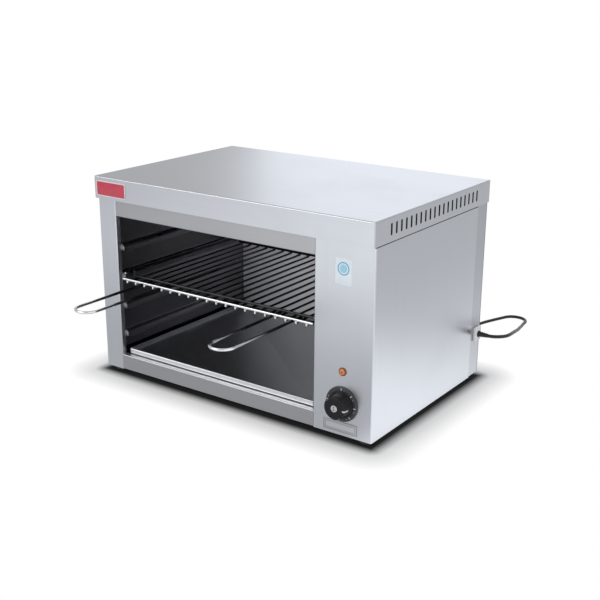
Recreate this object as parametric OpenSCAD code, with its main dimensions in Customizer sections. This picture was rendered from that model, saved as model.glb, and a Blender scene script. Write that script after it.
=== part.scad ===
// Countertop cheese melter: a folded stainless casing with an open front, hairpin heating
// elements under the ceiling, a wire rack on pressed runners and a crumb tray below it.
// Frame: origin on the worktop under the middle of the casing, +X to the control side,
// -Y to the open front, +Z up. Millimetres.

/* [Casing] */
// Width of the casing over both side walls
case_w = 598; // [560:1:680]
// Depth of the casing from the front posts to the rear panel
case_d = 388; // [370:1:460]
// Height of the casing from its bottom edge to the lid
case_h = 331; // [325:1:400]
// Thickness of the stainless casing sheet
sheet_t = 1; // [0.8:0.1:1.4]
// Outside radius of the folds in the casing sheet
fold_r = 2; // [1.6:0.1:3]
// Width of the left front post
post_w = 41.5; // [34:0.5:60]
// Width of the control panel at the right of the opening
panel_w = 114.5; // [100:0.5:140]
// Depth of the fold that lines the sides of the opening
edge_return = 10; // [6:0.5:12]
// Width of the flanges that join the sheets at top and bottom
flange_w = 14; // [10:0.5:20]
// Width of the rear posts that shows behind the side walls
rear_post_w = 38.5; // [30:0.5:50]
// Width of the rear posts' fold behind the rear panel
rear_return = 25; // [16:1:40]
// Overlap of the rear posts inside the side walls
rear_lap = 14; // [8:1:20]
// Distance of the rear panel's screws from its side edges
rear_screw_inset = 14; // [8:1:16]
// Diameter of the casing screws
screw_d = 4; // [3:0.5:5]
// Diameter of the casing screws' heads
screw_head_d = 8; // [6.5:0.5:10]

/* [Front rails] */
// Height of the rail above the opening
top_rail_h = 31.5; // [26:0.5:45]
// Height of the rail below the opening
bottom_rail_h = 29; // [24:0.5:36]
// Depth of the two rails' folds
rail_return = 12.5; // [8:0.5:16]
// Setback of the rails behind the front of the posts
rail_inset = 1; // [0.5:0.1:3]

/* [Lid] */
// Height of the lid's skirt
lid_h = 41; // [34:0.5:60]
// Overhang of the lid past the casing's sides
lid_side = 1; // [0:0.1:3]
// Overhang of the lid past the casing's front
lid_front = 8; // [2:0.5:10]
// Overhang of the lid past the casing's back
lid_back = 4; // [1:0.5:8]
// Width of the lid's return fold on top of the casing
lid_return = 12; // [9:0.5:13]
// Outside radius of the lid's folds
lid_fold_r = 2.5; // [1.6:0.1:4]
// Width of a vent slot
slot_w = 5; // [2:0.5:6]
// Length of a vent slot, which stands upright
slot_len = 20; // [10:1:24]
// Pitch of the vent slots
slot_pitch = 15.6; // [8:0.1:24]
// Distance of the first vent slot from the casing's front
slot_start = 42; // [20:1:80]
// Least distance of the last vent slot from the casing's back
slot_end = 48; // [20:1:80]

/* [Feet] */
// Height of the rubber feet
foot_h = 8; // [5:0.5:20]
// Diameter of the rubber feet
foot_d = 28; // [20:1:34]
// Distance of a foot's centre from the casing's edges
foot_inset = 20; // [18:1:40]

/* [Chamber] */
// Thickness of the lining sheet
liner_t = 0.8; // [0.6:0.1:1.2]
// Distance from the casing's top edge down to the ceiling
ceiling_drop = 9; // [8:0.5:14]
// Distance from the casing's back to the chamber's back wall
rear_gap = 14; // [8:1:30]
// Radius of the pressed runner beads
bead_r = 7.25; // [5:0.25:9]
// Pitch of the runner levels
bead_pitch = 56.3; // [40:0.1:60]
// Number of runner levels
bead_count = 4; // [3:1:4]
// Height of the top runner above the casing's bottom edge
bead_top = 237.6; // [232:0.1:244]
// Gap between the fold of the opening and the runners' front ends
bead_start = 0.5; // [0.3:0.1:6]
// Distance of the runners' rear ends before the chamber's back wall
bead_end = 16; // [10:1:40]
// Width of the ledges that carry the crumb tray
ledge_w = 13.5; // [10:0.5:20]
// Thickness of the insulation above the ceiling
top_wool_t = 30; // [15:1:38]
// Thickness of the insulation beside the control space
side_wool_t = 10; // [6:1:16]

/* [Heating] */
// Diameter of the heating elements' tube
element_d = 8; // [6:0.5:9]
// Distance from the ceiling down to the elements' axes
element_drop = 14; // [12:0.5:18]
// Distance between the two legs of a hairpin
element_gap = 50; // [36:1:56]
// Pitch of the hairpins from front to back
element_pitch = 108; // [96:1:112]
// Distance from the left wall to the hairpins' bends
element_end = 22; // [14:1:60]
// Length of the elements' tube inside the control space
element_tail = 22; // [16:1:30]
// Thickness of the strips that carry the elements
support_t = 1.2; // [0.8:0.1:2]
// Distance from the hairpins' bends to the left strip
support_left = 25; // [6:1:90]
// Distance from the right wall to the right strip
support_right = 72; // [20:1:120]
// Clearance of the elements in the holes of strips and walls
element_fit = 0.4; // [0.2:0.1:1]
// Diameter of the temperature sensor
bulb_d = 6; // [4:0.5:8]
// Length of the temperature sensor
bulb_len = 110; // [60:5:140]
// Distance from the elements' axes down to the sensor
bulb_drop = 18; // [14:1:30]
// Diameter of the sensor's capillary
capillary_d = 2; // [1.5:0.1:3]

/* [Rack] */
// Diameter of the cross rods, side rails and handles
cross_d = 5; // [4:0.5:6]
// Diameter of the rods from front to back
long_d = 4; // [3:0.5:5]
// Number of rods from front to back
long_count = 20; // [16:2:20]
// Distance from a side wall to the outermost rod from front to back
long_edge = 18.7; // [16:0.1:24]
// Runner level that the rack lies on, counted from the top
rack_level = 2; // [1:1:3]
// Distance of the front rod behind the casing's front
rack_front = 6; // [5:0.5:6]
// Distance from the front rod to the second cross rod
second_rod = 26; // [20:1:60]
// Distance from the rack's rear rod to the chamber's back wall
rack_rear_gap = 28; // [12:1:80]
// Depth of the grid below the side rails
rack_drop = 8.5; // [7:0.5:11]
// Overhang of the long rods past the front and rear rods
rod_overhang = 3; // [3:0.5:6]
// Distance from a side wall to the axis of the side rail
side_rail_x = 6.5; // [5:0.1:7]
// Rest gap between the rack and the runners
rest_gap = 0.3; // [0.2:0.1:0.5]
// Reach of the handles before the front rod
handle_reach = 176; // [60:1:220]
// Number of long-rod pitches from the rack's middle to a handle's middle
handle_steps = 7; // [3:1:8]

/* [Crumb tray] */
// Gap between the crumb tray and a side wall
tray_side_gap = 8; // [2:0.5:9]
// Height of the crumb tray
tray_h = 10.7; // [8:0.1:16]
// Thickness of the tray's sheet
tray_t = 0.8; // [0.6:0.1:1.2]
// Thickness of the folded lip at the tray's front
tray_lip_t = 2; // [1.4:0.1:4]
// Distance of the tray's lip behind the casing's front
tray_front = 12.5; // [8:0.5:16]
// Gap between the tray and the chamber's back wall
tray_rear_gap = 4; // [2:0.5:20]
// Rest gap between the tray and its ledges
tray_gap = 0.3; // [0.2:0.1:0.5]

/* [Controls] */
// Height of the knob's axis above the casing's bottom edge
knob_h = 56.5; // [55:0.5:70]
// Diameter of the dial ring on the panel
dial_d = 61; // [54:0.5:64]
// Thickness of the dial ring
dial_t = 3.6; // [3:0.1:5]
// Diameter of the knob next to the dial ring
knob_base_d = 47; // [40:0.5:50]
// Diameter of the knob's front face
knob_front_d = 41; // [34:0.5:44]
// Depth of the knob
knob_len = 21; // [18:0.5:26]
// Gap between the knob and the dial ring
knob_gap = 0.3; // [0.2:0.1:1]
// Radius of the cylinder that cuts each finger hollow of the knob
hollow_r = 20; // [14:0.5:24]
// Depth of the finger hollows in the knob's front face
hollow_depth = 3.2; // [1:0.1:5]
// Angle of the pointer, clockwise from the top, as the knob stands
pointer_angle = 93; // [0:1:270]
// Diameter of the thermostat's spindle
spindle_d = 6; // [5:0.5:8]
// Radial running clearance of the spindle in the thermostat
spindle_fit = 0.05; // [0.02:0.01:0.08]
// Number of marks on the dial
mark_count = 7; // [4:1:9]
// Angle between two marks on the dial
mark_step = 46.5; // [30:0.5:50]
// Width of the thermostat's case
thermostat_w = 44; // [36:1:50]
// Depth of the thermostat's case
thermostat_d = 34; // [24:1:44]
// Spacing of the thermostat's two fixing screws
thermostat_pitch = 28; // [24:1:32]
// Diameter of the fixing screws' flat heads
fixing_head_d = 7; // [6:0.5:8]
// Thickness of the fixing screws' flat heads
fixing_head_t = 1.8; // [1.2:0.1:2]
// Height of the lamp's axis above the casing's bottom edge
lamp_h = 113.3; // [108:0.5:140]
// Diameter of the lamp's bezel
lamp_d = 14.6; // [12:0.2:20]
// Diameter of the lamp's barrel
lamp_barrel_d = 10.6; // [8:0.2:11]
// Length of the lamp's barrel behind the panel
lamp_len = 26; // [18:1:36]

/* [Plates] */
// Width of the name plate's blank on the lid
badge_w = 72; // [40:1:100]
// Height of the name plate's blank on the lid
badge_h = 28.5; // [16:0.5:32]
// Distance of the name plate from the casing's left side
badge_x = 5; // [2:1:40]
// Thickness of the name plate
badge_t = 1.2; // [0.8:0.1:2]
// Width of the blank rating plate
rating_w = 66; // [50:1:90]
// Height of the blank rating plate
rating_h = 19; // [12:0.5:20]
// Height of the rating plate's lower edge above the casing's bottom edge
rating_z = 5.4; // [3:0.1:6]
// Thickness of the rating plate
rating_t = 0.5; // [0.3:0.1:1]

/* [Power cord] */
// Diameter of the power cord
cord_d = 6.5; // [6:0.1:8]
// Width of the cord gland's plate
gland_w = 24; // [20:0.5:26]
// Height of the cord gland's plate
gland_h = 27; // [22:0.5:34]
// Thickness of the cord gland's plate
gland_t = 5; // [3:0.5:8]
// Distance of the gland's axis before the casing's back
gland_y = 15; // [14:0.5:18]
// Height of the gland's axis above the casing's bottom edge
gland_z = 82; // [60:1:110]
// Diameter of the gland's threaded neck
gland_neck_d = 12; // [10:0.5:14]
// Length of the tapered strain relief
relief_len = 20; // [12:1:30]
// Diameter of the plug's body
plug_d = 37; // [32:0.5:40]
// Length of the plug's body
plug_len = 36; // [28:1:44]
// Diameter of the plug's pins
pin_d = 4.8; // [4:0.1:5]
// Length of the plug's pins
pin_len = 19; // [16:0.5:20]
// Spacing of the plug's pins
pin_pitch = 19; // [17:0.5:20]

/* [Hidden] */
$fn = 48;

// Faces of the casing
x_left = -case_w / 2;
x_right = case_w / 2;
y_front = -case_d / 2;
y_back = case_d / 2;
z_case = foot_h;
z_lid = foot_h + case_h;

// Faces of the chamber: the side linings stand behind the folds of the opening
open_left = x_left + post_w;
open_right = x_right - panel_w;
wall_left = open_left - sheet_t;
wall_right = open_right + sheet_t;
wall_back = y_back - rear_gap;
chamber_x = (wall_left + wall_right) / 2;
chamber_w = wall_right - wall_left;
z_ceiling = z_lid - ceiling_drop;
z_floor = z_case + sheet_t;
liner_front = y_front + rail_inset + sheet_t;

// Side walls end where the rear posts come out from behind them
side_depth = case_d - rear_post_w;

// Controls stand on the panel's middle line
control_x = x_right - panel_w / 2;
panel_back = y_front + sheet_t;
knob_z = z_case + knob_h;
lamp_z = z_case + lamp_h;
knob_back = y_front - dial_t - knob_gap;
knob_face = knob_back - knob_len;
neck_d = 16;
neck_len = 7;
cap_d = 12;
cap_t = 1.2;
pointer_w = 2.2;
pointer_len = 5.5;
thermostat_front = panel_back + neck_len;
thermostat_back = thermostat_front + thermostat_d;
spindle_inner = thermostat_front + 14;
bore_depth = 14;

// Elements: one leg line for each bore, two to a hairpin
element_z = z_ceiling - element_drop;
hairpin_y = [for (i = [-1 : 1]) (liner_front + wall_back) / 2 + i * element_pitch];
leg_y = [for (y = hairpin_y, s = [-1, 1]) y + s * element_gap / 2];
element_x0 = wall_left + element_end + element_gap / 2;
element_x1 = wall_right + liner_t + side_wool_t + element_tail;
fitting_d = 14;
fitting_t = 6;
stud_d = 4;
stud_len = 12;

// Centre of the runner beads' round front ends
bead_y0 = y_front + edge_return + bead_start + bead_r;

// Rack: its side rails lie on the rounded tops of the runner beads
bead_z = z_case + bead_top - (rack_level - 1) * bead_pitch;
seat_reach = bead_r + cross_d / 2 + rest_gap;
side_rail_z = bead_z + sqrt(pow(seat_reach, 2) - pow(side_rail_x, 2));
cross_z = side_rail_z - rack_drop;
long_z = cross_z - (cross_d + long_d) / 2;
front_rod_y = y_front + rack_front;
second_rod_y = front_rod_y + second_rod;
rear_rod_y = wall_back - rack_rear_gap;
long_pitch = (chamber_w - 2 * long_edge) / (long_count - 1);
riser_x = side_rail_x + cross_d + 0.2;
rail_left = wall_left + side_rail_x;
rail_right = wall_right - side_rail_x;

// Tray: its floor slides on the ledges and on the bottom rail's fold
tray_w = chamber_w - 2 * tray_side_gap;
z_ledge = z_case + bottom_rail_h;
z_tray = z_ledge + tray_gap;
tray_y0 = y_front + tray_front;
tray_y1 = wall_back - tray_rear_gap;

// Power cord: exit at the gland, then the route's own points down to the worktop
gland_pos = [x_right - sheet_t, y_back - gland_y, z_case + gland_z];
gland_face = gland_pos.x + gland_t;
gland_neck_len = 12;
cord_sides = 10;
relief_end = gland_face + relief_len;
cord_route = [
    [relief_end, gland_pos.y, gland_pos.z], [relief_end + 3, gland_pos.y, gland_pos.z],
    [332.1, 179.9, 90.2], [339, 182.9, 90.4], [345, 188.1, 90.4], [349.1, 194.9, 90],
    [350.9, 202.7, 89.2], [350.7, 213, 87.9], [348.5, 229, 85.4], [344, 249, 81.3], [334.5, 283, 72],
    [323, 318, 61.5], [310, 354, 50], [296, 390, 38], [282.5, 426, 26], [269.5, 462, 15],
    [263.5, 481, 9.8], [258, 498, 6], [254.5, 512, 4.2], [252.3, 525.7, 3.5], [249, 534.6, 3.5],
    [242.7, 541.7, 3.5], [234.3, 546.1, 3.5], [224.9, 547.1, 3.5], [215.7, 544.8, 3.5],
    [208, 539.3, 3.5], [202.8, 531.4, 3.5], [197.5, 518.5, 3.5], [188.5, 496, 3.5], [178.5, 466, 3.5],
    [171.5, 430, 3.5], [167.8, 390, 3.5], [167, 350, 3.6], [167, 310, 4.2], [167, 290, 4.25]
];
tail_route = [
    [114, 247, 10.75], [102, 246, 11.5], [90, 245, 14], [79, 245, 17.5], [68, 245, 18.5], [66, 245, 18.5]
];
coil_centre = [128, 286];
coil_r = 36;
coil_turns_wide = 2;
coil_turns_high = 2;
tie_t = 1;
tie_w = 9;
plug_end = tail_route[len(tail_route) - 1];
plug_relief_len = 22;
plug_relief_d = 13;

steel = "silver";
bright_steel = "gainsboro";
lining = "dimgray";
eps = 0.01;
elbow = 1.02;

// ---- shapes used by more than one piece

// Rectangle from the origin with rounded corners
module rounded(w, d, r) {
    translate([r, 0]) square([w - 2 * r, d]);
    translate([0, r]) square([w, d - 2 * r]);
    for (x = [r, w - r], y = [r, d - r]) translate([x, y]) circle(r = r);
}

// Section of a sheet folded around a rectangle, open at the far end of y
module folded(w, near, far_left, far_right, t, r) {
    deep = max(far_left, far_right) + 4 * r;
    intersection() {
        difference() {
            rounded(w, deep, r);
            translate([t, t]) rounded(w - 2 * t, deep, r - t);
        }
        union() {
            square([w, near]);
            square([w / 2, far_left]);
            translate([w / 2, 0]) square([w / 2, far_right]);
        }
    }
}

// Block with all edges but the lower ones rounded
module capped_block(w, d, h, r) {
    intersection() {
        linear_extrude(h) rounded(w, d, r);
        translate([0, 0, h]) rotate([90, 0, 90]) linear_extrude(w)
            translate([0, -2 * h]) rounded(d, 2 * h, r);
        translate([0, d, h]) rotate([90, 0, 0]) linear_extrude(d)
            translate([0, -2 * h]) rounded(w, 2 * h, r);
    }
}

// Extrude a section drawn in Y and Z along X
module along_x(x0, x1) {
    translate([x0, 0, 0]) rotate([90, 0, 90]) linear_extrude(x1 - x0) children();
}

// Cylinder whose axis points to the front, from y0 to y1
module front_cylinder(d, y0, y1) {
    translate([0, y1, 0]) rotate([90, 0, 0]) cylinder(d = d, h = y1 - y0);
}

// Round rod between two points
module rod(p, q, d) {
    v = q - p;
    translate(p) rotate([0, acos(v.z / norm(v)), atan2(v.y, v.x)]) cylinder(d = d, h = norm(v));
}

// Round wire along points, with a ball in each corner
module wire(points, d) {
    for (i = [0 : len(points) - 2]) rod(points[i], points[i + 1], d);
    for (i = [1 : len(points) - 2]) translate(points[i]) sphere(d = d * elbow);
}

module screw(head_d, head_t, shank_d, shank_len) {
    translate([0, 0, -shank_len]) cylinder(d = shank_d, h = shank_len + eps);
    cylinder(d = head_d, h = head_t);
}

// Sweep of a round section along a route, as one closed polyhedron
function route_dir(p, i) =
    let(a = p[max(i - 1, 0)], b = p[min(i + 1, len(p) - 1)])
    (b - a) / norm(b - a);
function ring_at(c, dir, r, n) =
    let(side = cross(dir, [0, 0, 1]) / norm(cross(dir, [0, 0, 1])), up = cross(side, dir))
    [for (k = [0 : n - 1]) c + r * (cos(360 * k / n) * side + sin(360 * k / n) * up)];

module tube(route, d, n) {
    rings = [for (i = [0 : len(route) - 1]) each ring_at(route[i], route_dir(route, i), d / 2, n)];
    last = (len(route) - 1) * n;
    polyhedron(
        points = rings,
        faces = concat(
            [[for (k = [0 : n - 1]) k]],
            [[for (k = [n - 1 : -1 : 0]) last + k]],
            [for (i = [0 : len(route) - 2], k = [0 : n - 1])
                let(a = i * n + k, b = i * n + (k + 1) % n) [a, a + n, b + n, b]]
        )
    );
}

// ---- casing

module lid() {
    w = case_w + 2 * lid_side;
    d = case_d + lid_front + lid_back;
    slots = floor((case_d - slot_start - slot_end) / slot_pitch);
    color(steel) difference() {
        translate([x_left - lid_side, y_front - lid_front, z_lid]) difference() {
            capped_block(w, d, lid_h, lid_fold_r);
            translate([sheet_t, sheet_t, sheet_t])
                capped_block(w - 2 * sheet_t, d - 2 * sheet_t, lid_h - 2 * sheet_t, lid_fold_r - sheet_t);
            translate([sheet_t + lid_return, sheet_t + lid_return, -eps])
                cube([w - 2 * (sheet_t + lid_return), d - 2 * (sheet_t + lid_return), 2 * sheet_t]);
        }
        for (i = [0 : slots])
            translate([x_right + lid_side, y_front + slot_start + i * slot_pitch, z_lid + lid_h / 2])
                vent_slot();
        lid_screw_holes();
    }
}

// Upright slot with round ends, cut through a side skirt
module vent_slot() {
    straight = slot_len - slot_w;
    rotate([90, 0, -90]) translate([0, 0, -2 * sheet_t]) linear_extrude(5 * sheet_t) {
        square([slot_w, straight], center = true);
        for (s = [-1, 1]) translate([0, s * straight / 2]) circle(d = slot_w);
    }
}

// Screws that hold the lid, through the top flanges of casing and lid
lid_screw_x = case_w / 2 + lid_side - sheet_t - lid_return / 2;
lid_screw_y = [y_front + 60, y_front + side_depth - rear_lap - 30];
lid_screw_places = [for (x = [-lid_screw_x, lid_screw_x], y = lid_screw_y) [x, y]];

// Flange of a side wall at the height z, with the screw holes of the top one
module side_flange(side, z) {
    x0 = side < 0 ? x_left + sheet_t : x_right - sheet_t - flange_w;
    translate([x0, panel_back, z]) cube([flange_w, side_depth - rear_lap - 2 * sheet_t, sheet_t]);
}

module left_casing() {
    color(steel) difference() {
        union() {
            translate([x_left, y_front, z_case]) linear_extrude(case_h)
                folded(post_w, sheet_t, side_depth, edge_return, sheet_t, fold_r);
            side_flange(-1, z_case + sheet_t);
            side_flange(-1, z_lid - sheet_t);
        }
        lid_screw_holes();
        foot_holes();
    }
}

module right_casing() {
    color(steel) difference() {
        union() {
            translate([open_right, y_front, z_case]) linear_extrude(case_h)
                folded(panel_w, sheet_t, edge_return, side_depth, sheet_t, fold_r);
            side_flange(1, z_case + sheet_t);
            side_flange(1, z_lid - sheet_t);
        }
        lid_screw_holes();
        foot_holes();
        translate([control_x, 0, knob_z]) {
            front_cylinder(neck_d - 4, y_front - 1, panel_back + 1);
            for (s = [-1, 1]) translate([s * thermostat_pitch / 2, 0, 0])
                front_cylinder(screw_d, y_front - 1, panel_back + 1);
        }
        translate([control_x, 0, lamp_z]) front_cylinder(lamp_barrel_d, y_front - 1, panel_back + 1);
    }
}

module lid_screw_holes() {
    for (p = lid_screw_places) translate([p.x, p.y, z_lid])
        cylinder(d = screw_d, h = 4 * sheet_t, center = true);
}

module foot_holes() {
    for (p = foot_places) translate([p.x, p.y, z_case])
        cylinder(d = screw_d, h = 6 * sheet_t, center = true);
}

// Rail across the opening: a face with a fold along both edges
module front_rail(z, h) {
    along_x(open_left, open_right) translate([y_front + rail_inset, z]) rotate(-90) translate([-h, 0])
        folded(h, sheet_t, rail_return, rail_return, sheet_t, fold_r);
}

module top_rail() {
    color(steel) front_rail(z_lid - top_rail_h, top_rail_h);
}

module bottom_rail() {
    color(steel) front_rail(z_case, bottom_rail_h);
}

module rear_posts() {
    deep = rear_post_w + rear_lap - sheet_t;
    color(steel) difference() {
        for (s = [0, 1]) mirror([s, 0, 0])
            translate([x_right - sheet_t, y_back - sheet_t, z_case + 2 * sheet_t]) rotate(180)
                linear_extrude(case_h - 3 * sheet_t) difference() {
                    folded(rear_return + fold_r, sheet_t, deep, sheet_t, sheet_t, fold_r);
                    translate([rear_return, -1]) square([2 * fold_r, 3 * fold_r]);
                }
        rear_screw_holes();
        translate(gland_pos) rotate([0, 90, 0]) cylinder(d = gland_neck_d, h = 6 * sheet_t, center = true);
    }
}

// Screws of the rear panel, into the folds of the rear posts
rear_screw_x = case_w / 2 - rear_screw_inset;
rear_screw_z = [z_case + 24, z_case + case_h / 2, z_lid - 24];
rear_screw_places = [for (x = [-rear_screw_x, rear_screw_x], z = rear_screw_z) [x, z]];

module rear_screw_holes() {
    for (p = rear_screw_places) translate([p.x, 0, p.y])
        front_cylinder(screw_d, y_back - 4 * sheet_t, y_back + 1);
}

module rear_panel() {
    inner = x_right - sheet_t;
    fold_x = inner - 2 * sheet_t - rear_return;
    fold_y = wall_back + liner_t;
    color(steel) difference() {
        union() {
            translate([-inner, y_back - sheet_t, z_case]) cube([2 * inner, sheet_t, case_h]);
            for (z = [z_case + sheet_t, z_lid - sheet_t])
                translate([-fold_x, fold_y, z]) cube([2 * fold_x, y_back - fold_y, sheet_t]);
        }
        rear_screw_holes();
    }
}

module rear_screws() {
    head_t = 2.2;
    slot = 1;
    reach = screw_head_d * 0.6;
    color(bright_steel) for (p = rear_screw_places) translate([p.x, y_back, p.y]) rotate([-90, 0, 0])
        difference() {
            screw(screw_head_d, head_t, screw_d, 8);
            translate([-reach / 2, -slot / 2, head_t / 2]) cube([reach, slot, head_t]);
            translate([-slot / 2, -reach / 2, head_t / 2]) cube([slot, reach, head_t]);
        }
}

module base_plate() {
    x0 = x_left + 2 * sheet_t;
    y1 = y_back - sheet_t;
    rail_back = y_front + rail_inset + rail_return;
    slot = [60, 4];
    color(steel) difference() {
        translate([x0, liner_front, z_case]) cube([case_w - 4 * sheet_t, y1 - liner_front, sheet_t]);
        // the rail's lower fold and the posts' folds stand before the plate's middle part
        translate([wall_left, y_front, z_case - sheet_t])
            cube([chamber_w, rail_back - y_front, 3 * sheet_t]);
        foot_holes();
        // air inlet under the control space
        for (i = [0 : 7]) translate([control_x, i * 3.5 * slot.y, z_case])
            cube([slot.x, slot.y, 4 * sheet_t], center = true);
    }
}

// ---- feet

foot_x = case_w / 2 - foot_inset;
foot_y = case_d / 2 - foot_inset;
foot_places = [for (x = [-foot_x, foot_x], y = [-foot_y, foot_y]) [x, y]];
foot_recess_d = 13;
foot_recess_h = 4;

module feet() {
    color("black") for (p = foot_places) translate([p.x, p.y, 0]) difference() {
        union() {
            cylinder(d1 = foot_d - 3, d2 = foot_d, h = foot_h / 2);
            translate([0, 0, foot_h / 2]) cylinder(d = foot_d, h = foot_h / 2);
        }
        translate([0, 0, -eps]) cylinder(d = foot_recess_d, h = foot_recess_h);
        cylinder(d = screw_d, h = 3 * foot_h, center = true);
    }
}

module foot_screws() {
    color(bright_steel) for (p = foot_places) translate([p.x, p.y, foot_recess_h - eps]) rotate([180, 0, 0])
        screw(screw_head_d, 2.2, screw_d, foot_h - foot_recess_h + 8);
}

module lid_screws() {
    color(bright_steel) for (p = lid_screw_places) translate([p.x, p.y, z_lid - sheet_t]) rotate([180, 0, 0])
        screw(screw_head_d, 2.2, screw_d, 8);
}

// ---- chamber

// Half outline of a bead, from its axis outwards, with round ends
module bead_outline(r, length) {
    intersection() {
        union() {
            translate([-r, 0]) square([2 * r, length]);
            for (y = [0, length]) translate([0, y]) circle(r = r);
        }
        translate([0, -r]) square([r, length + 2 * r]);
    }
}

// Places of a side lining's beads, at the centres of their front ends
module at_beads(face) {
    for (i = [0 : bead_count - 1])
        translate([face, bead_y0, z_case + bead_top - i * bead_pitch]) children();
}

// Side lining with its pressed runner beads: side is -1 at the left and 1 at the right
module side_liner(side) {
    face = side < 0 ? wall_left : wall_right;
    inner_r = bead_r - liner_t;
    straight = wall_back - bead_end - bead_r - bead_y0;
    color(lining) {
        difference() {
            translate([side < 0 ? face - liner_t : face, liner_front, z_floor])
                cube([liner_t, wall_back - liner_front, z_ceiling - z_floor]);
            at_beads(face) rotate([0, 90, 0]) linear_extrude(4 * liner_t, center = true) {
                translate([-inner_r, 0]) square([2 * inner_r, straight]);
                for (y = [0, straight]) translate([0, y]) circle(r = inner_r);
            }
            if (side > 0) {
                at_legs(face) cylinder(d = element_d + 2 * element_fit, h = 4 * liner_t, center = true);
                translate([face, capillary_y, bulb_z]) rotate([0, 90, 0])
                    cylinder(d = capillary_d + 2 * element_fit, h = 4 * liner_t, center = true);
            }
        }
        at_beads(face) rotate([-90, 0, 0]) rotate(side * 90) rotate_extrude(angle = 180) difference() {
            bead_outline(bead_r, straight);
            bead_outline(inner_r, straight);
        }
    }
}

// Places of the hairpins' legs at the height of their axes, with Z along the legs
module at_legs(x) {
    for (y = leg_y) translate([x, y, element_z]) rotate([0, 90, 0]) children();
}

module liner_left() {
    side_liner(-1);
}

module liner_right() {
    side_liner(1);
}

module liner_back() {
    color(lining) translate([wall_left - liner_t, wall_back, z_floor])
        cube([chamber_w + 2 * liner_t, liner_t, z_ceiling - z_floor]);
}

module ceiling_reflector() {
    y0 = y_front + edge_return;
    color(bright_steel) translate([wall_left - liner_t, y0, z_ceiling])
        cube([chamber_w + 2 * liner_t, wall_back + liner_t - y0, liner_t]);
}

module top_insulation() {
    margin = 4;
    y0 = liner_front + rail_return + margin;
    color("ivory") translate([wall_left + margin, y0, z_ceiling + liner_t])
        cube([chamber_w - 2 * margin, wall_back - margin - y0, top_wool_t]);
}

module side_insulation() {
    color("ivory") difference() {
        translate([wall_right + liner_t, y_front + edge_return + 2, z_case + 3 * sheet_t])
            cube([side_wool_t, wall_back - y_front - edge_return - 4, z_ceiling - z_case - 4 * sheet_t]);
        at_legs(wall_right) cylinder(d = fitting_d + 1, h = 4 * side_wool_t, center = true);
        translate([wall_right, capillary_y, bulb_z]) rotate([0, 90, 0])
            cylinder(d = capillary_d + 2, h = 4 * side_wool_t, center = true);
    }
}

// Angles on the side linings that carry the tray
module tray_ledges() {
    y0 = y_front + rail_inset + rail_return;
    length = wall_back - y0;
    leg = 11;
    color(lining) for (s = [-1, 1]) {
        x0 = s < 0 ? wall_left : wall_right - ledge_w;
        xleg = s < 0 ? wall_left : wall_right - sheet_t;
        translate([x0, y0, z_ledge - sheet_t]) cube([ledge_w, length, sheet_t]);
        translate([xleg, y0, z_ledge - leg]) cube([sheet_t, length, leg]);
    }
}

// ---- heating

module hairpin(y) {
    color("gray") {
        for (s = [-1, 1]) translate([element_x0, y + s * element_gap / 2, element_z]) rotate([0, 90, 0])
            cylinder(d = element_d, h = element_x1 - element_x0);
        translate([element_x0, y, element_z]) rotate([0, 0, 90]) rotate_extrude(angle = 180)
            translate([element_gap / 2, 0]) circle(d = element_d);
    }
}

module element_front() {
    hairpin(hairpin_y[0]);
}

module element_middle() {
    hairpin(hairpin_y[1]);
}

module element_rear() {
    hairpin(hairpin_y[2]);
}

// Strips that hang from the ceiling and hold the hairpins in holes
module element_supports() {
    below = 3;
    y0 = leg_y[0] - element_d - 4;
    y1 = leg_y[5] + element_d + 4;
    z0 = element_z - element_d / 2 - below;
    tab = 10;
    color(bright_steel) for (x = [element_x0 + support_left, wall_right - support_right])
        translate([x, 0, 0]) difference() {
            union() {
                translate([0, y0, z0]) cube([support_t, y1 - y0, z_ceiling - z0]);
                translate([0, y0, z_ceiling - support_t]) cube([tab, y1 - y0, support_t]);
            }
            at_legs(0) cylinder(d = element_d + 2 * element_fit, h = 4 * support_t, center = true);
        }
}

// Nuts that clamp the hairpins' legs to the right lining
module element_fittings() {
    color("darkkhaki") at_legs(wall_right + liner_t) difference() {
        cylinder(d = fitting_d, h = fitting_t, $fn = 6);
        translate([0, 0, -1]) cylinder(d = element_d, h = fitting_t + 2);
    }
}

module element_terminals() {
    color("ivory") at_legs(element_x1) {
        cylinder(d = element_d + 1, h = 3);
        cylinder(d = stud_d, h = stud_len);
    }
}

bulb_x = wall_right - bulb_d / 2 - 2.5;
bulb_y = hairpin_y[1];
bulb_z = element_z - bulb_drop;
capillary_y = bulb_y + bulb_len / 2 + 2 * bulb_d;
capillary_out = 26;
capillary_rise = 12;
clip_t = 1;
clip_w = 6;

module sensor_bulb() {
    color("goldenrod") translate([bulb_x, bulb_y, bulb_z]) rotate([90, 0, 0])
        cylinder(d = bulb_d, h = bulb_len, center = true);
}

// Clips that hold the sensor off the right lining
module bulb_clips() {
    reach = wall_right - bulb_x;
    color(bright_steel) for (s = [-1, 1])
        translate([bulb_x, bulb_y + s * bulb_len / 3, bulb_z]) difference() {
            union() {
                rotate([90, 0, 0]) cylinder(d = bulb_d + 2 * clip_t, h = clip_w, center = true);
                translate([0, -clip_w / 2, 0]) cube([reach, clip_w, bulb_d / 2 + clip_t]);
                translate([reach - clip_t, -clip_w / 2, -bulb_d]) cube([clip_t, clip_w, 3 * bulb_d]);
            }
            rotate([90, 0, 0]) cylinder(d = bulb_d, h = 2 * clip_w, center = true);
        }
}

module capillary() {
    out_x = wall_right + liner_t + side_wool_t + capillary_out;
    color("goldenrod") wire([
        [bulb_x, bulb_y + bulb_len / 2, bulb_z],
        [bulb_x, capillary_y, bulb_z],
        [out_x, capillary_y, bulb_z],
        [out_x, capillary_y, knob_z + capillary_rise],
        [out_x, thermostat_back, knob_z + capillary_rise]
    ], capillary_d);
}

// ---- thermostat and knob

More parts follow.
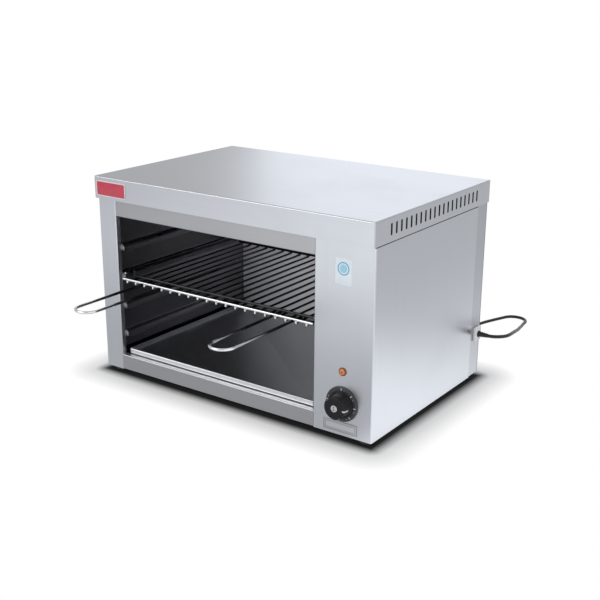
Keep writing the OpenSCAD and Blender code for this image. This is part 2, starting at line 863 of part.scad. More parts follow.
module thermostat_body() {
    color("ivory") translate([control_x, 0, knob_z]) difference() {
        union() {
            translate([-thermostat_w / 2, thermostat_front, -thermostat_w / 2])
                cube([thermostat_w, thermostat_d, thermostat_w]);
            front_cylinder(neck_d, panel_back, thermostat_front + eps);
            for (s = [-1, 1]) translate([s * thermostat_pitch / 2, 0, 0])
                front_cylinder(screw_d + 4, panel_back, thermostat_front + eps);
        }
        front_cylinder(spindle_d + 2 * spindle_fit, panel_back - 1, spindle_inner);
        for (s = [-1, 1]) translate([s * thermostat_pitch / 2, 0, 0])
            front_cylinder(screw_d, panel_back - 1, panel_back + neck_len);
    }
}

module thermostat_screws() {
    color(bright_steel) for (s = [-1, 1]) translate([control_x + s * thermostat_pitch / 2, y_front, knob_z])
        rotate([90, 0, 0]) screw(fixing_head_d, fixing_head_t, screw_d, sheet_t + neck_len);
}

module thermostat_spindle() {
    color(bright_steel) translate([control_x, 0, knob_z])
        front_cylinder(spindle_d, knob_back - bore_depth, spindle_inner - 0.5);
}

// Angle of a direction that lies clockwise from the top, seen from the front
module clockwise(a) {
    rotate([0, a, 0]) children();
}

module knob() {
    skirt = 1.2;
    rim = 2;
    hollow_angle = 47;
    color("#1c1c1f") translate([control_x, 0, knob_z]) difference() {
        translate([0, knob_back, 0]) rotate([90, 0, 0]) rotate_extrude() polygon([
            [0, 0], [knob_base_d / 2 - skirt, 0], [knob_base_d / 2, skirt], [knob_base_d / 2, 2 * skirt],
            [knob_front_d / 2, knob_len - rim], [knob_front_d / 2 - rim, knob_len], [0, knob_len]
        ]);
        for (a = [0, 180]) clockwise(pointer_angle + hollow_angle + a)
            translate([0, 0, knob_front_d / 2 + hollow_r - hollow_depth])
                front_cylinder(2 * hollow_r, knob_face - 1, knob_back - 3 * skirt);
        front_cylinder(cap_d, knob_face - 1, knob_face + cap_t);
        front_cylinder(spindle_d, knob_back - bore_depth, knob_back + 1);
        pointer_shape();
    }
}

module knob_cap() {
    hole_d = 1.8;
    color("silver") translate([control_x, 0, knob_z]) difference() {
        front_cylinder(cap_d, knob_face - 0.5, knob_face + cap_t);
        clockwise(pointer_angle - 85) for (s = [-1, 1]) translate([0, 0, s * 2.2])
            front_cylinder(hole_d, knob_face - 1, knob_face + 0.4);
    }
}

module pointer_shape() {
    clockwise(pointer_angle) translate([-pointer_w / 2, knob_face, knob_front_d / 2 - 2 - pointer_len])
        cube([pointer_w, 1, pointer_len]);
}

module knob_pointer() {
    color("white") translate([control_x, 0, knob_z]) pointer_shape();
}

module dial_ring() {
    bevel = 1.4;
    recess_d = thermostat_pitch + fixing_head_d + 2;
    recess_t = fixing_head_t + 0.2;
    color("#26262a") translate([control_x, y_front, knob_z]) rotate([90, 0, 0]) difference() {
        rotate_extrude() polygon([
            [neck_d / 2, 0], [dial_d / 2, 0], [dial_d / 2, dial_t - bevel],
            [dial_d / 2 - bevel, dial_t], [neck_d / 2, dial_t]
        ]);
        translate([0, 0, -1]) cylinder(d = recess_d, h = 1 + recess_t);
    }
}

module dial_marks() {
    mark = [1.2, 0.15, 4.5];
    margin = 1.9;
    color("lightgray") translate([control_x, 0, knob_z]) for (i = [0 : mark_count - 1])
        clockwise(i * mark_step)
            translate([-mark.x / 2, y_front - dial_t - mark.y, dial_d / 2 - margin - mark.z]) cube(mark);
}

// ---- indicator lamp

bezel_t = 2;
lens_rise = 1.2;
tab = [0.8, 7, 2.8];
tab_x = 2.5;

// Domed lens: its ball has the barrel's diameter as its radius
module lamp_lens() {
    color("darkorange") translate([control_x, 0, lamp_z]) {
        front_cylinder(lamp_barrel_d, y_front - bezel_t, panel_back);
        intersection() {
            translate([0, y_front - bezel_t - lens_rise + lamp_barrel_d, 0]) sphere(r = lamp_barrel_d);
            front_cylinder(lamp_barrel_d, y_front - 2 * bezel_t, y_front - bezel_t + eps);
        }
    }
}

module lamp_bezel() {
    bevel = bezel_t / 2;
    color("#a8481c") translate([control_x, y_front, lamp_z]) rotate([90, 0, 0]) rotate_extrude() polygon([
        [lamp_barrel_d / 2, 0], [lamp_d / 2, 0], [lamp_d / 2, bevel],
        [lamp_d / 2 - bevel, bezel_t], [lamp_barrel_d / 2, bezel_t]
    ]);
}

module lamp_barrel() {
    color("ivory") translate([control_x, 0, lamp_z]) {
        front_cylinder(lamp_barrel_d, panel_back, panel_back + lamp_len);
        for (s = [-tab_x, tab_x]) translate([s - tab.x / 2, panel_back + lamp_len, -tab.z / 2]) cube(tab);
    }
}

module lamp_nut() {
    nut_t = 3;
    color(bright_steel) translate([control_x, 0, lamp_z]) difference() {
        translate([0, panel_back + nut_t, 0]) rotate([90, 0, 0])
            cylinder(d = lamp_d + 3, h = nut_t, $fn = 6);
        front_cylinder(lamp_barrel_d, panel_back - 1, panel_back + nut_t + 1);
    }
}

// ---- wiring

block = [34, 22, 16];
block_y = y_front + side_depth - rear_lap - 20;
block_pole = block.x / 3;
lead_z = z_floor + block.z / 2;
wire_d = 2.6;

module terminal_block() {
    slit = 1;
    hole_d = 5;
    depth = 6;
    color("ivory") translate([control_x - block.x / 2, block_y - block.y / 2, z_floor]) difference() {
        cube(block);
        for (i = [0 : 2]) translate([(i + 0.5) * block_pole, block.y / 2, block.z - depth])
            cylinder(d = hole_d, h = depth + 1);
        for (i = [1, 2]) translate([i * block_pole - slit / 2, -1, block.z - depth])
            cube([slit, block.y + 2, depth + 1]);
    }
}

// Leads from the terminal block to the thermostat, the lamp and the elements
module wiring() {
    front_y = block_y - block.y / 2;
    riser_y = front_y - 16;
    lamp_riser_y = riser_y - 8;
    lamp_end_y = panel_back + lamp_len + tab.y;
    bus_x = element_x1 + stud_len + 4;
    left_x = control_x - block_pole;
    right_x = control_x + block_pole;
    color("firebrick") {
        wire([
            [control_x, front_y, lead_z], [control_x, riser_y, lead_z],
            [control_x, riser_y, knob_z], [control_x, thermostat_back, knob_z]
        ], wire_d);
        wire([
            [left_x, front_y, lead_z], [left_x, lamp_riser_y, lead_z], [left_x, lamp_riser_y, lamp_z],
            [control_x - tab_x, lamp_end_y + 5, lamp_z], [control_x - tab_x, lamp_end_y, lamp_z]
        ], wire_d);
        wire([
            [right_x, front_y, lead_z], [right_x, riser_y, lead_z], [right_x, riser_y, element_z - 20],
            [bus_x, riser_y, element_z], [bus_x, leg_y[0], element_z]
        ], wire_d);
        for (y = leg_y) rod([element_x1 + stud_len, y, element_z], [bus_x, y, element_z], wire_d);
    }
    // supply lead from the gland's neck to the terminal block
    color("black") wire([
        gland_pos - [gland_neck_len, 0, 0], [control_x, gland_pos.y, gland_pos.z],
        [control_x, gland_pos.y, lead_z], [control_x, block_y + block.y / 2, lead_z]
    ], cord_d);
}

module earth_stud() {
    color("goldenrod") translate([control_x - block.x, block_y, z_floor]) {
        cylinder(d = 10, h = 3, $fn = 6);
        cylinder(d = 5, h = block.z);
    }
}

// ---- power cord

module cord_gland() {
    color("white") translate(gland_pos) {
        rotate([90, 0, 90]) translate([-gland_w / 2, -gland_h / 2, 0])
            linear_extrude(gland_t) rounded(gland_w, gland_h, 3);
        translate([-gland_neck_len, 0, 0]) rotate([0, 90, 0])
            cylinder(d = gland_neck_d, h = gland_neck_len + eps);
    }
}

module gland_nut() {
    nut_t = 5;
    color("white") translate(gland_pos - [sheet_t + nut_t, 0, 0]) rotate([0, 90, 0]) difference() {
        cylinder(d = gland_neck_d + 7, h = nut_t, $fn = 6);
        translate([0, 0, -1]) cylinder(d = gland_neck_d, h = nut_t + 2);
    }
}

module cord_relief() {
    color("#1a1a1c") translate([gland_face, gland_pos.y, gland_pos.z]) rotate([0, 90, 0])
        cylinder(d1 = cord_d + 4, d2 = cord_d + 1, h = relief_len);
}

module power_cord() {
    color("#1a1a1c") tube(cord_route, cord_d, cord_sides);
}

module cord_coil() {
    wide = coil_turns_wide * cord_d;
    high = coil_turns_high * cord_d;
    color("#1a1a1c") translate([coil_centre.x, coil_centre.y, tie_t]) rotate_extrude()
        translate([coil_r - wide / 2, 0]) rounded(wide, high, cord_d / 2);
}

module cord_tail() {
    color("#1a1a1c") tube(tail_route, cord_d, cord_sides);
}

// Strap around the coil's turns at the side away from the incoming cord
module cord_tie() {
    wide = coil_turns_wide * cord_d;
    high = coil_turns_high * cord_d;
    slack = 0.5;
    outer = [wide + 2 * (tie_t + slack), tie_w, high + 2 * tie_t + slack];
    color("#101012") translate([coil_centre.x - coil_r, coil_centre.y, 0]) difference() {
        translate([-outer.x / 2, -tie_w / 2, 0]) cube(outer);
        translate([-wide / 2 - slack, -tie_w, tie_t]) cube([wide + 2 * slack, 2 * tie_w, high + slack]);
    }
}

module plug_body() {
    grip = 6;
    shoulder = plug_relief_len + 2;
    back = plug_relief_len + plug_len;
    color("#1a1a1c") translate(plug_end) rotate([0, -90, 0]) rotate_extrude() polygon([
        [0, 0], [cord_d / 2 + 0.8, 0], [plug_relief_d / 2, plug_relief_len],
        [plug_d / 2 - grip, shoulder], [plug_d / 2, shoulder + grip], [plug_d / 2, back], [0, back]
    ]);
}

module plug_pins() {
    straight = pin_len - pin_d / 2;
    color("silver") translate(plug_end - [plug_relief_len + plug_len, 0, 0]) for (s = [-1, 1])
        translate([0, s * pin_pitch / 2, 0]) rotate([0, -90, 0]) {
            cylinder(d = pin_d, h = straight);
            translate([0, 0, straight]) sphere(d = pin_d);
        }
}

// ---- plates

module badge_plate() {
    z0 = z_lid + (lid_h - badge_h) / 2 - 1;
    color("crimson") translate([x_left + badge_x, y_front - lid_front - badge_t, z0])
        cube([badge_w, badge_t, badge_h]);
}

module rating_plate() {
    left = 3;
    color(bright_steel)
        translate([control_x - rating_w / 2 - left, y_front - rating_t, z_case + rating_z])
            cube([rating_w, rating_t, rating_h]);
}

// ---- rack

module rack_long_rods() {
    y0 = front_rod_y - rod_overhang;
    y1 = rear_rod_y + rod_overhang;
    x0 = wall_left + long_edge;
    color("gray") for (i = [0 : long_count - 1])
        rod([x0 + i * long_pitch, y0, long_z], [x0 + i * long_pitch, y1, long_z], long_d);
}

// Front rod, and two more rods whose ends step up over the beads to the side rails
module rack_cross_rods() {
    half = chamber_w / 2;
    front = half - side_rail_x;
    riser = half - riser_x;
    reach = front - cross_d / 2;
    color(bright_steel) translate([chamber_x, 0, 0]) {
        rod([-front, front_rod_y, cross_z], [front, front_rod_y, cross_z], cross_d);
        for (y = [second_rod_y, rear_rod_y]) wire([
            [-reach, y, side_rail_z], [-riser, y, side_rail_z], [-riser, y, cross_z],
            [riser, y, cross_z], [riser, y, side_rail_z], [reach, y, side_rail_z]
        ], cross_d);
    }
}

// Side rails that slide on the runners
module rack_side_rails() {
    y0 = front_rod_y + cross_d;
    y1 = rear_rod_y + cross_d;
    color(bright_steel) for (x = [rail_left, rail_right])
        rod([x, y0, side_rail_z], [x, y1, side_rail_z], cross_d);
}

module rack_handles() {
    r = long_pitch;
    z = cross_z - cross_d;
    tip = front_rod_y - handle_reach + cross_d / 2 + r;
    root = second_rod_y + cross_d;
    color(bright_steel) for (s = [-1, 1]) translate([chamber_x + s * handle_steps * long_pitch, tip, z]) {
        for (t = [-r, r]) rod([t, 0, 0], [t, root - tip, 0], cross_d);
        rotate(180) rotate_extrude(angle = 180) translate([r, 0]) circle(d = cross_d);
    }
}

// ---- crumb tray

module crumb_tray() {
    x0 = chamber_x - tray_w / 2;
    depth = tray_y1 - tray_y0;
    r = 3;
    color("slategray") translate([x0, tray_y0, z_tray]) difference() {
        linear_extrude(tray_h) rounded(tray_w, depth, r);
        translate([tray_t, tray_lip_t, tray_t]) linear_extrude(tray_h)
            rounded(tray_w - 2 * tray_t, depth - tray_t - tray_lip_t, r - tray_t);
    }
}

lid();
left_casing();
right_casing();
top_rail();
bottom_rail();
rear_posts();
rear_panel();
rear_screws();
base_plate();
feet();
foot_screws();
lid_screws();
liner_left();
liner_right();
liner_back();
ceiling_reflector();
top_insulation();
side_insulation();
tray_ledges();
element_front();
element_middle();
element_rear();
element_supports();
element_fittings();
element_terminals();
sensor_bulb();
bulb_clips();
capillary();
thermostat_body();
thermostat_screws();
thermostat_spindle();
knob();
knob_cap();
knob_pointer();
dial_ring();
dial_marks();
lamp_lens();
lamp_bezel();
lamp_barrel();
lamp_nut();
terminal_block();
wiring();
earth_stud();
cord_gland();
gland_nut();
cord_relief();
power_cord();
cord_coil();
cord_tail();
cord_tie();
plug_body();
plug_pins();
badge_plate();
rating_plate();
rack_long_rods();
rack_cross_rods();
rack_side_rails();
rack_handles();
crumb_tray();
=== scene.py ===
import math

import bmesh
import bpy
from mathutils import Matrix, Vector


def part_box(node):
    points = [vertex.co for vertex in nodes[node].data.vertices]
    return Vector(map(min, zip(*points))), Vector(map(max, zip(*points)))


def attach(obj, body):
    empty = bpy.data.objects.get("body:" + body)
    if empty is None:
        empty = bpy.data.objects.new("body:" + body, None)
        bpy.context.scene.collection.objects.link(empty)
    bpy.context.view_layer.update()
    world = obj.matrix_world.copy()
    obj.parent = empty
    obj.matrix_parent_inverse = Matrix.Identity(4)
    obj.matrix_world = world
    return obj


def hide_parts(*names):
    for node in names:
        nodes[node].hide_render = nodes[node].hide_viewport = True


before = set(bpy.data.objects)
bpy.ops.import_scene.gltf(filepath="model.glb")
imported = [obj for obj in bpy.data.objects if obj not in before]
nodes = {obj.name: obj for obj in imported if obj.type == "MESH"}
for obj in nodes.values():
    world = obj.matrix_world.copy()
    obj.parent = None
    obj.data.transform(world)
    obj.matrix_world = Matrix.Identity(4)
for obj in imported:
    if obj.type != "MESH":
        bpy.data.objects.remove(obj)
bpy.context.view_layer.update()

mm = 0.001
near = 1e-5  # metres within which a point counts as lying on a plane


def valuesOf(settings, names):  # several of a dictionary's values
    return [settings[name] for name in names.split()]


def boxOf(node):  # a node's lowest and highest corners in mm
    return [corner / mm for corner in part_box(node)]


def clearSelection():
    if bpy.context.object and bpy.context.mode != "OBJECT":
        leaveEdit()
    bpy.ops.object.select_all(action="DESELECT")


def focus(*pieces):
    clearSelection()
    for piece in pieces:
        piece.select_set(True)
    bpy.context.view_layer.objects.active = pieces[0]


def edit(piece):
    focus(piece)
    bpy.ops.object.mode_set(mode="EDIT")


def leaveEdit():
    bpy.ops.object.mode_set(mode="OBJECT")


def selectAll():
    bpy.ops.mesh.select_all(action="SELECT")


def bevelPicked(width, segments):
    bpy.ops.mesh.bevel(offset=width * mm, segments=segments, affect="EDGES")


def extrude(*way):  # way in mm
    bpy.ops.mesh.extrude_region_move(TRANSFORM_OT_translate={"value": Vector(way) * mm})


def named(name):
    piece = bpy.context.object
    piece.name = name
    piece.data.name = name
    return piece


def linked(name, data):  # a new object of the scene
    piece = bpy.data.objects.new(name, data)
    bpy.context.scene.collection.objects.link(piece)
    return piece


def twin(piece):  # a copy with a mesh of its own
    return linked(piece.name, piece.data.copy())


def copies(first, spots):  # one copy for each (place, turn) in place of the first
    made = [putAt(twin(first), *spot) for spot in spots]
    bpy.data.objects.remove(first)
    return made


def settle(piece):  # puts the object's place, turn and scale into its mesh
    focus(piece)
    bpy.ops.object.transform_apply(location=True, rotation=True, scale=True)
    return piece


def putAt(piece, place, turn=(0, 0, 0)):  # turn in degrees, place in mm
    piece.rotation_euler = [math.radians(a) for a in turn]
    piece.location = Vector(place) * mm
    return settle(piece)


def finishWith(piece, kind, **settings):
    focus(piece)
    modifier = piece.modifiers.new(kind.title(), kind)
    for key, value in settings.items():
        setattr(modifier, key, value)
    bpy.ops.object.modifier_apply(modifier=modifier.name)
    return piece


def eased(piece, width, segments, angle=30):  # bevels the edges that are sharper than the angle
    return finishWith(piece, "BEVEL", width=width * mm, segments=segments, limit_method="ANGLE",
                      angle_limit=math.radians(angle))


def cut(piece, tool):  # takes the tool's shape out of the piece
    finishWith(piece, "BOOLEAN", operation="DIFFERENCE", solver="EXACT", object=tool)
    bpy.data.objects.remove(tool)
    return piece


def smooth(piece, angle=35):
    focus(piece)
    bpy.ops.object.shade_smooth_by_angle(angle=math.radians(angle))
    return piece


def faceOut(piece):  # merges doubles and turns all faces outwards
    edit(piece)
    selectAll()
    bpy.ops.mesh.remove_doubles(threshold=2e-6)
    bpy.ops.mesh.normals_make_consistent(inside=False)
    leaveEdit()
    return piece


def joined(name, pieces):
    focus(*pieces)
    if len(pieces) > 1:
        bpy.ops.object.join()
    return named(name)


def asMesh(piece):
    focus(piece)
    bpy.ops.object.convert(target="MESH")
    return named(piece.name)


def pick(piece, kind, test):  # selects vertices, edges or faces in edit mode
    bpy.ops.mesh.select_mode(type=kind)
    bpy.ops.mesh.select_all(action="DESELECT")
    mesh = bmesh.from_edit_mesh(piece.data)
    for item in {"VERT": mesh.verts, "EDGE": mesh.edges, "FACE": mesh.faces}[kind]:
        if test(item):
            item.select_set(True)
    bmesh.update_edit_mesh(piece.data)


def pickEdges(piece, test):  # by their two ends
    pick(piece, "EDGE", lambda edge: test(*(vert.co for vert in edge.verts)))


def pickFaces(piece, test):  # by middle and normal
    pick(piece, "FACE", lambda face: test(face.calc_center_median(), face.normal))


def rounding(points, radii, steps, closed=False):  # the path with an arc in each corner
    points = [Vector(p) for p in points]
    longest = 0.49  # share of a side that one arc may take
    made = []
    for i, (corner, radius) in enumerate(zip(points, radii)):
        if not closed and i in (0, len(points) - 1):
            made.append(corner)
            continue
        before = points[i - 1] - corner
        after = points[(i + 1) % len(points)] - corner
        a, b = before.normalized(), after.normalized()
        half = a.angle(b) / 2
        reach = min(radius / math.tan(half), longest * before.length, longest * after.length)
        bend = reach * math.tan(half)
        middle = corner + (a + b).normalized() * bend / math.sin(half)
        first = (corner + a * reach - middle).normalized()
        last = (corner + b * reach - middle).normalized()
        made += [middle + first.slerp(last, k / steps) * bend for k in range(steps + 1)]
    return made


# turned shape: rings of (radius, height) in mm, along Z from the bottom up
def turned(name, rings, segments=64, loop=False):
    radius, height = rings[0]
    clearSelection()
    bpy.ops.mesh.primitive_circle_add(vertices=segments, radius=radius * mm, location=(0, 0, height * mm),
                                      fill_type="NOTHING" if loop else "NGON")
    piece = settle(named(name))
    edit(piece)
    bpy.ops.mesh.select_mode(type="VERT")
    selectAll()
    for nextRadius, nextHeight in rings[1:]:
        extrude(0, 0, nextHeight - height)
        share = nextRadius / radius
        bpy.ops.transform.resize(value=(share, share, 1), center_override=(0, 0, nextHeight * mm))
        radius, height = nextRadius, nextHeight
    leaveEdit()
    return smooth(faceOut(piece))


def block(name, low, high):  # box between two corners in mm
    low, high = Vector(low), Vector(high)
    clearSelection()
    bpy.ops.mesh.primitive_cube_add(size=1, location=(low + high) * mm / 2)
    piece = named(name)
    piece.scale = (high - low) * mm
    return settle(piece)


# box whose corners along one axis have a radius, with its other edges eased
def roundedBlock(name, low, high, axis, corner, edge, steps=4):
    piece = block(name, low, high)
    edit(piece)
    pickEdges(piece, lambda p, q: abs((p - q).normalized()[axis]) > 0.99)
    bevelPicked(corner, steps + 2)
    leaveEdit()
    if edge:
        eased(piece, edge, steps, 50)
    return smooth(piece)


def newCurve(name):
    curve = bpy.data.curves.new(name, "CURVE")
    curve.dimensions = "3D"
    return curve


def addLine(curve, points):  # points in mm
    spline = curve.splines.new("POLY")
    spline.points.add(len(points) - 1)
    for knot, place in zip(spline.points, points):
        knot.co = (*(Vector(place) * mm), 1)
    return spline


endSet = {"chamfer": 0.12, "narrow": 0.74}  # cut ends of rods, as shares of the diameter


# round rods along one or more paths, as a curve
def tube(name, lines, diameter, sides, easedEnds=True):
    curve = newCurve(name)
    curve.bevel_depth = diameter * mm / 2
    curve.bevel_resolution = sides
    curve.use_fill_caps = True
    for line in lines:
        points = [Vector(p) for p in line]
        if easedEnds:
            ease = endSet["chamfer"] * diameter
            head = points[0] + (points[1] - points[0]).normalized() * ease
            tail = points[-1] + (points[-2] - points[-1]).normalized() * ease
            points = [points[0], head, *points[1:-1], tail, points[-1]]
        spline = addLine(curve, points)
        if easedEnds:
            spline.points[0].radius = spline.points[-1].radius = endSet["narrow"]
    return linked(name, curve)


# flat band along a path in the XZ plane, with its width along Y
def strap(name, path, width, thickness, closed=False):
    curve = newCurve(name)
    addLine(curve, path).use_cyclic_u = closed
    band = asMesh(linked(name, curve))
    edit(band)
    selectAll()
    bpy.ops.transform.translate(value=(0, -width * mm / 2, 0))
    extrude(0, width, 0)
    leaveEdit()
    finishWith(faceOut(band), "SOLIDIFY", thickness=thickness * mm, offset=0)
    return smooth(eased(band, thickness * 0.28, 2))


def operator(operation, swapped=False):
    def apply(self, *others):
        values = (self, *others)
        return self.owner.node("ShaderNodeMath", dict(enumerate(values[::-1] if swapped else values)),
                               operation=operation)
    return apply


class Signal:  # a socket that takes part in shader maths
    def __init__(self, owner, socket):
        self.owner = owner
        self.socket = socket

    __add__ = __radd__ = operator("ADD")
    __mul__ = __rmul__ = operator("MULTIPLY")
    __sub__ = operator("SUBTRACT")
    __rsub__ = operator("SUBTRACT", swapped=True)
    __pow__ = operator("POWER")
    __gt__ = operator("GREATER_THAN")
    __lt__ = operator("LESS_THAN")
    size = operator("ABSOLUTE")
    atLeast = operator("MAXIMUM")

    def between(self, low, high):  # 0 below low, 1 above high
        return self.owner.node("ShaderNodeMapRange", {"Value": self, "From Min": low, "From Max": high})

    def within(self, low, high):  # 1 between low and high, else 0
        return (self > low) * (self < high)


class Tree:  # the nodes of a material or of the world
    def __init__(self, holder, output):
        holder.use_nodes = True
        self.tree = holder.node_tree
        self.tree.nodes.clear()
        self.output = self.tree.nodes.new(output).inputs["Surface"]

    def node(self, kind, inputs=None, output=0, **settings):
        made = self.tree.nodes.new(kind)
        for key, value in settings.items():
            setattr(made, key, value)
        for key, value in (inputs or {}).items():
            self.feed(made.inputs[key], value)
        return Signal(self, made.outputs[output])

    def feed(self, socket, value):
        if isinstance(value, Signal):
            self.tree.links.new(value.socket, socket)
        elif socket.type == "RGBA" and len(value) == 3:
            socket.default_value = (*value, 1)
        else:
            socket.default_value = value

    def show(self, shader):
        self.feed(self.output, shader)

    def ray(self, kind):  # 1 for the rays of one kind
        return self.node("ShaderNodeLightPath", output=f"Is {kind} Ray")

    def mixShaders(self, factor, first, second):
        return self.node("ShaderNodeMixShader", {0: factor, 1: first, 2: second})


class Finish(Tree):  # one material
    def __init__(self, name, **shader):
        self.material = bpy.data.materials.new(name)
        super().__init__(self.material, "ShaderNodeOutputMaterial")
        self.plain = self.node("ShaderNodeBsdfPrincipled")
        self.shader = self.plain.socket.node
        self.place = self.node("ShaderNodeTexCoord", output="Object")
        self.facing = self.node("ShaderNodeTexCoord", output="Normal")
        self.show(self.plain)
        self.wear(**shader)

    def wear(self, **inputs):  # sets or links the shader's own sockets
        for key, value in inputs.items():
            self.feed(self.shader.inputs[key.replace("_", " ")], value)

    def noise(self, scale, detail=2.0, rough=0.5, stretch=(1, 1, 1)):
        vector = self.node("ShaderNodeMapping", {"Vector": self.place, "Scale": stretch})
        return self.node("ShaderNodeTexNoise",
                         {"Vector": vector, "Scale": scale, "Detail": detail, "Roughness": rough})

    def mix(self, factor, first, second):
        return self.node("ShaderNodeMix", {0: factor, 6: first, 7: second}, 2, data_type="RGBA")

    def at(self, letter):  # place along one axis in metres
        return self.node("ShaderNodeSeparateXYZ", {0: self.place}, output=letter)

    def faces(self, letter):  # how far the surface looks along one axis
        return self.node("ShaderNodeSeparateXYZ", {0: self.facing}, output=letter)

    def overlay(self, share, tone, gloss):  # lays another tone and gloss over what is there
        base, rough = (self.shader.inputs[key].links[0].from_socket for key in ("Base Color", "Roughness"))
        self.wear(Base_Color=self.mix(share, Signal(self, base), tone),
                  Roughness=Signal(self, rough) * (1 - share) + gloss * share)

    def bump(self, *layers):  # layers of (height, distance in metres, strength)
        normal = None
        for height, distance, strength in layers:
            inputs = {"Height": height, "Distance": distance, "Strength": strength}
            if normal:
                inputs["Normal"] = normal
            normal = self.node("ShaderNodeBump", inputs)
        self.wear(Normal=normal)


def shade(tone, share):
    return tuple(min(1.0, c * share) for c in tone)


grainSet = {
    "fine": (2600, 22, 3.0, 0.6),  # scale across and along the grain, detail, roughness
    "soft": (210, 2.4, 2.0, 0.5),
    "fineDepth": 0.000003, "softDepth": 0.00001, "wave": 0.0016,  # metres
    "turned": 0.7,  # a face that looks along the grain more than this is brushed the other way
}
# painted light: where the lid, side sheets, rails and tray get painted shade, painted shadow and painted
# highlights
paintedLightSet = {
    "skin": 0.9, "bend": 5, "slotDepth": 1.35,  # the lid's inside and slots, painted near black as shade
    "shadowLine": 2.2, "shadowLineSoft": 0.3,               # painted shadow band on the side sheets, just under the lid
    "lip": (1.3, 1.7), "lipFront": 1.5, "hem": 3,  # painted shadow under the crumb tray's front lip, and the hem's painted highlight
    "fold": (0.76, 0.76, 0.78),                 # painted highlight colour for a rail's top and the tray's hem
}


# brushed sheet: fine grain along one axis, soft streaks, hand marks and a slight wave
def sheetSteel(name, tone, gloss, grain, streak=0.05, marks=0.08, flat=0.5, metal=1.0):
    finish = Finish(name, Metallic=metal)
    ways = {"X": ("X", "Y"), "Y": ("Y", "Z"), "Z": ("Z", "X")}[grain]
    turnedFace = finish.faces(ways[0]).size() > grainSet["turned"]

    def brushed(kind):
        across, length, detail, rough = grainSet[kind]
        stretches = [tuple(length if axis == way else across for axis in "XYZ") for way in ways]
        plain, other = (finish.noise(1.0, detail, rough, stretch) for stretch in stretches)
        return plain * (1 - turnedFace) + other * turnedFace

    fine, soft = brushed("fine"), brushed("soft")
    hands = finish.noise(7.0, 4.0, 0.6).between(0.5, 0.75)
    cloud = finish.noise(2.3, 1.0, 0.4)
    tint = finish.mix(cloud, shade(tone, 1 - streak), shade(tone, 1 + streak))
    tint = finish.mix((soft - 0.5).size() * 0.5, tint, shade(tone, 0.86))
    finish.wear(Base_Color=tint,
                Roughness=gloss + (soft - 0.5) * streak * 2 + (fine - 0.5) * 0.05 + hands * marks)
    depth = min(1, 2 * flat)
    finish.bump((finish.noise(4.0, 0.0), grainSet["wave"] * flat, 0.5),
                (soft, grainSet["softDepth"] * depth, 0.5), (fine, grainSet["fineDepth"] * depth, 0.6))
    return finish


def lidSteel(tone):  # brushed outside, with the inside and the slots' cut edges painted dull and near black as painted shade
    finish = sheetSteel("lidSteel", tone, 0.34, "X", 0.03, 0.05, 0.6)
    low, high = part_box("lid")
    skin, bend, slotDepth = (size * mm for size in valuesOf(paintedLightSet, "skin bend slotDepth"))
    across, deep, height = (finish.at(axis) for axis in "XYZ")
    inside = across.within(low.x + skin, high.x - skin) * deep.within(low.y + skin, high.y - skin)
    inside = inside * (height < high.z - skin)
    slotShade = (across > high.x - slotDepth) * (finish.faces("X").size() < grainSet["turned"])
    slotShade = slotShade * deep.within(low.y + bend, high.y - bend) * height.within(low.z + bend, high.z - bend)
    # painted shade: the lid's inside and its slot walls are painted near black
    finish.overlay(inside.atLeast(slotShade), (0.03, 0.03, 0.032), 0.6)
    return finish


def wallSteel(tone):  # side sheets, with a painted shadow band just under the lid
    finish = sheetSteel("wallSteel", tone, 0.33, "Z", 0.03, 0.05, 0.6)
    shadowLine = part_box("lid")[0].z - paintedLightSet["shadowLine"] * mm
    paintedShadow = finish.at("Z").between(shadowLine, shadowLine + paintedLightSet["shadowLineSoft"] * mm)
    # painted shadow: a dark band on the side sheets just below the lid
    finish.overlay(paintedShadow, (0.02, 0.02, 0.025), 0.6)
    return finish


def railSteelPaintedLight(tone):  # brushed rail, darker than the casing steel as painted shade, with a painted highlight on its top face
    finish = sheetSteel("railSteelPaintedLight", tone, 0.36, "X", 0.03, 0.05, 0.4)
    # painted highlight: up-facing faces of the rails are lightened
    finish.overlay(finish.faces("Z") > 0.5, paintedLightSet["fold"], 0.4)
    return finish


def traySteel(tone):  # bright sheet, with a painted highlight on its hem and painted shadow in the gap under its front lip
    finish = sheetSteel("traySteel", tone, 0.3, "X", 0.04, 0.05, 0.15)
    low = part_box("crumb_tray")[0]
    front, height = finish.at("Y"), finish.at("Z")
    start, end = (low.z + edge * mm for edge in paintedLightSet["lip"])
    # painted highlight along the tray's top front hem
    finish.overlay((front < low.y + paintedLightSet["hem"] * mm) * (height > start), paintedLightSet["fold"], 0.32)
    # painted shadow: the lowest strip of the front face, in the gap under the lip
    gap = (front < low.y + paintedLightSet["lipFront"] * mm) * (1 - height.between(start, end))
    finish.overlay(gap, (0.02, 0.02, 0.022), 0.6)
    return finish


def rodChrome(name, tone, gloss, dull=(0.35, 0.33, 0.31)):  # bright rod: drawing lines, dull spots, stains
    finish = Finish(name, Metallic=1.0)
    spots = finish.noise(160.0, 3.0, 0.6).between(0.62, 0.8)
    drawn = finish.noise(1.0, stretch=(900, 60, 900))
    stain = finish.noise(9.0).between(0.45, 0.8)
    tint = finish.mix(stain * 0.35, tone, shade(tone, 0.8))
    finish.wear(Base_Color=finish.mix(spots * 0.6, tint, dull),
                Roughness=gloss + spots * 0.2 + (drawn - 0.5) * 0.06)
    finish.bump((drawn, 0.00001, 0.5), (spots, 0.00003, 0.4))
    return finish


def rodsWithPaintedShade(name, tone, gloss, start, end):  # bright in front, painted near black behind: painted shade and painted dark reflections
    finish = rodChrome(name, tone, gloss)
    deep = finish.at("Y").between(start * mm, end * mm)
    scale = finish.noise(70.0, 3.0, stretch=(1, 0.3, 1))
    # painted shade: the rods are darkened behind the given depth, standing in for dark reflections
    finish.overlay(deep * (0.9 + scale * 0.1), (0.022, 0.021, 0.023), 0.32)
    return finish


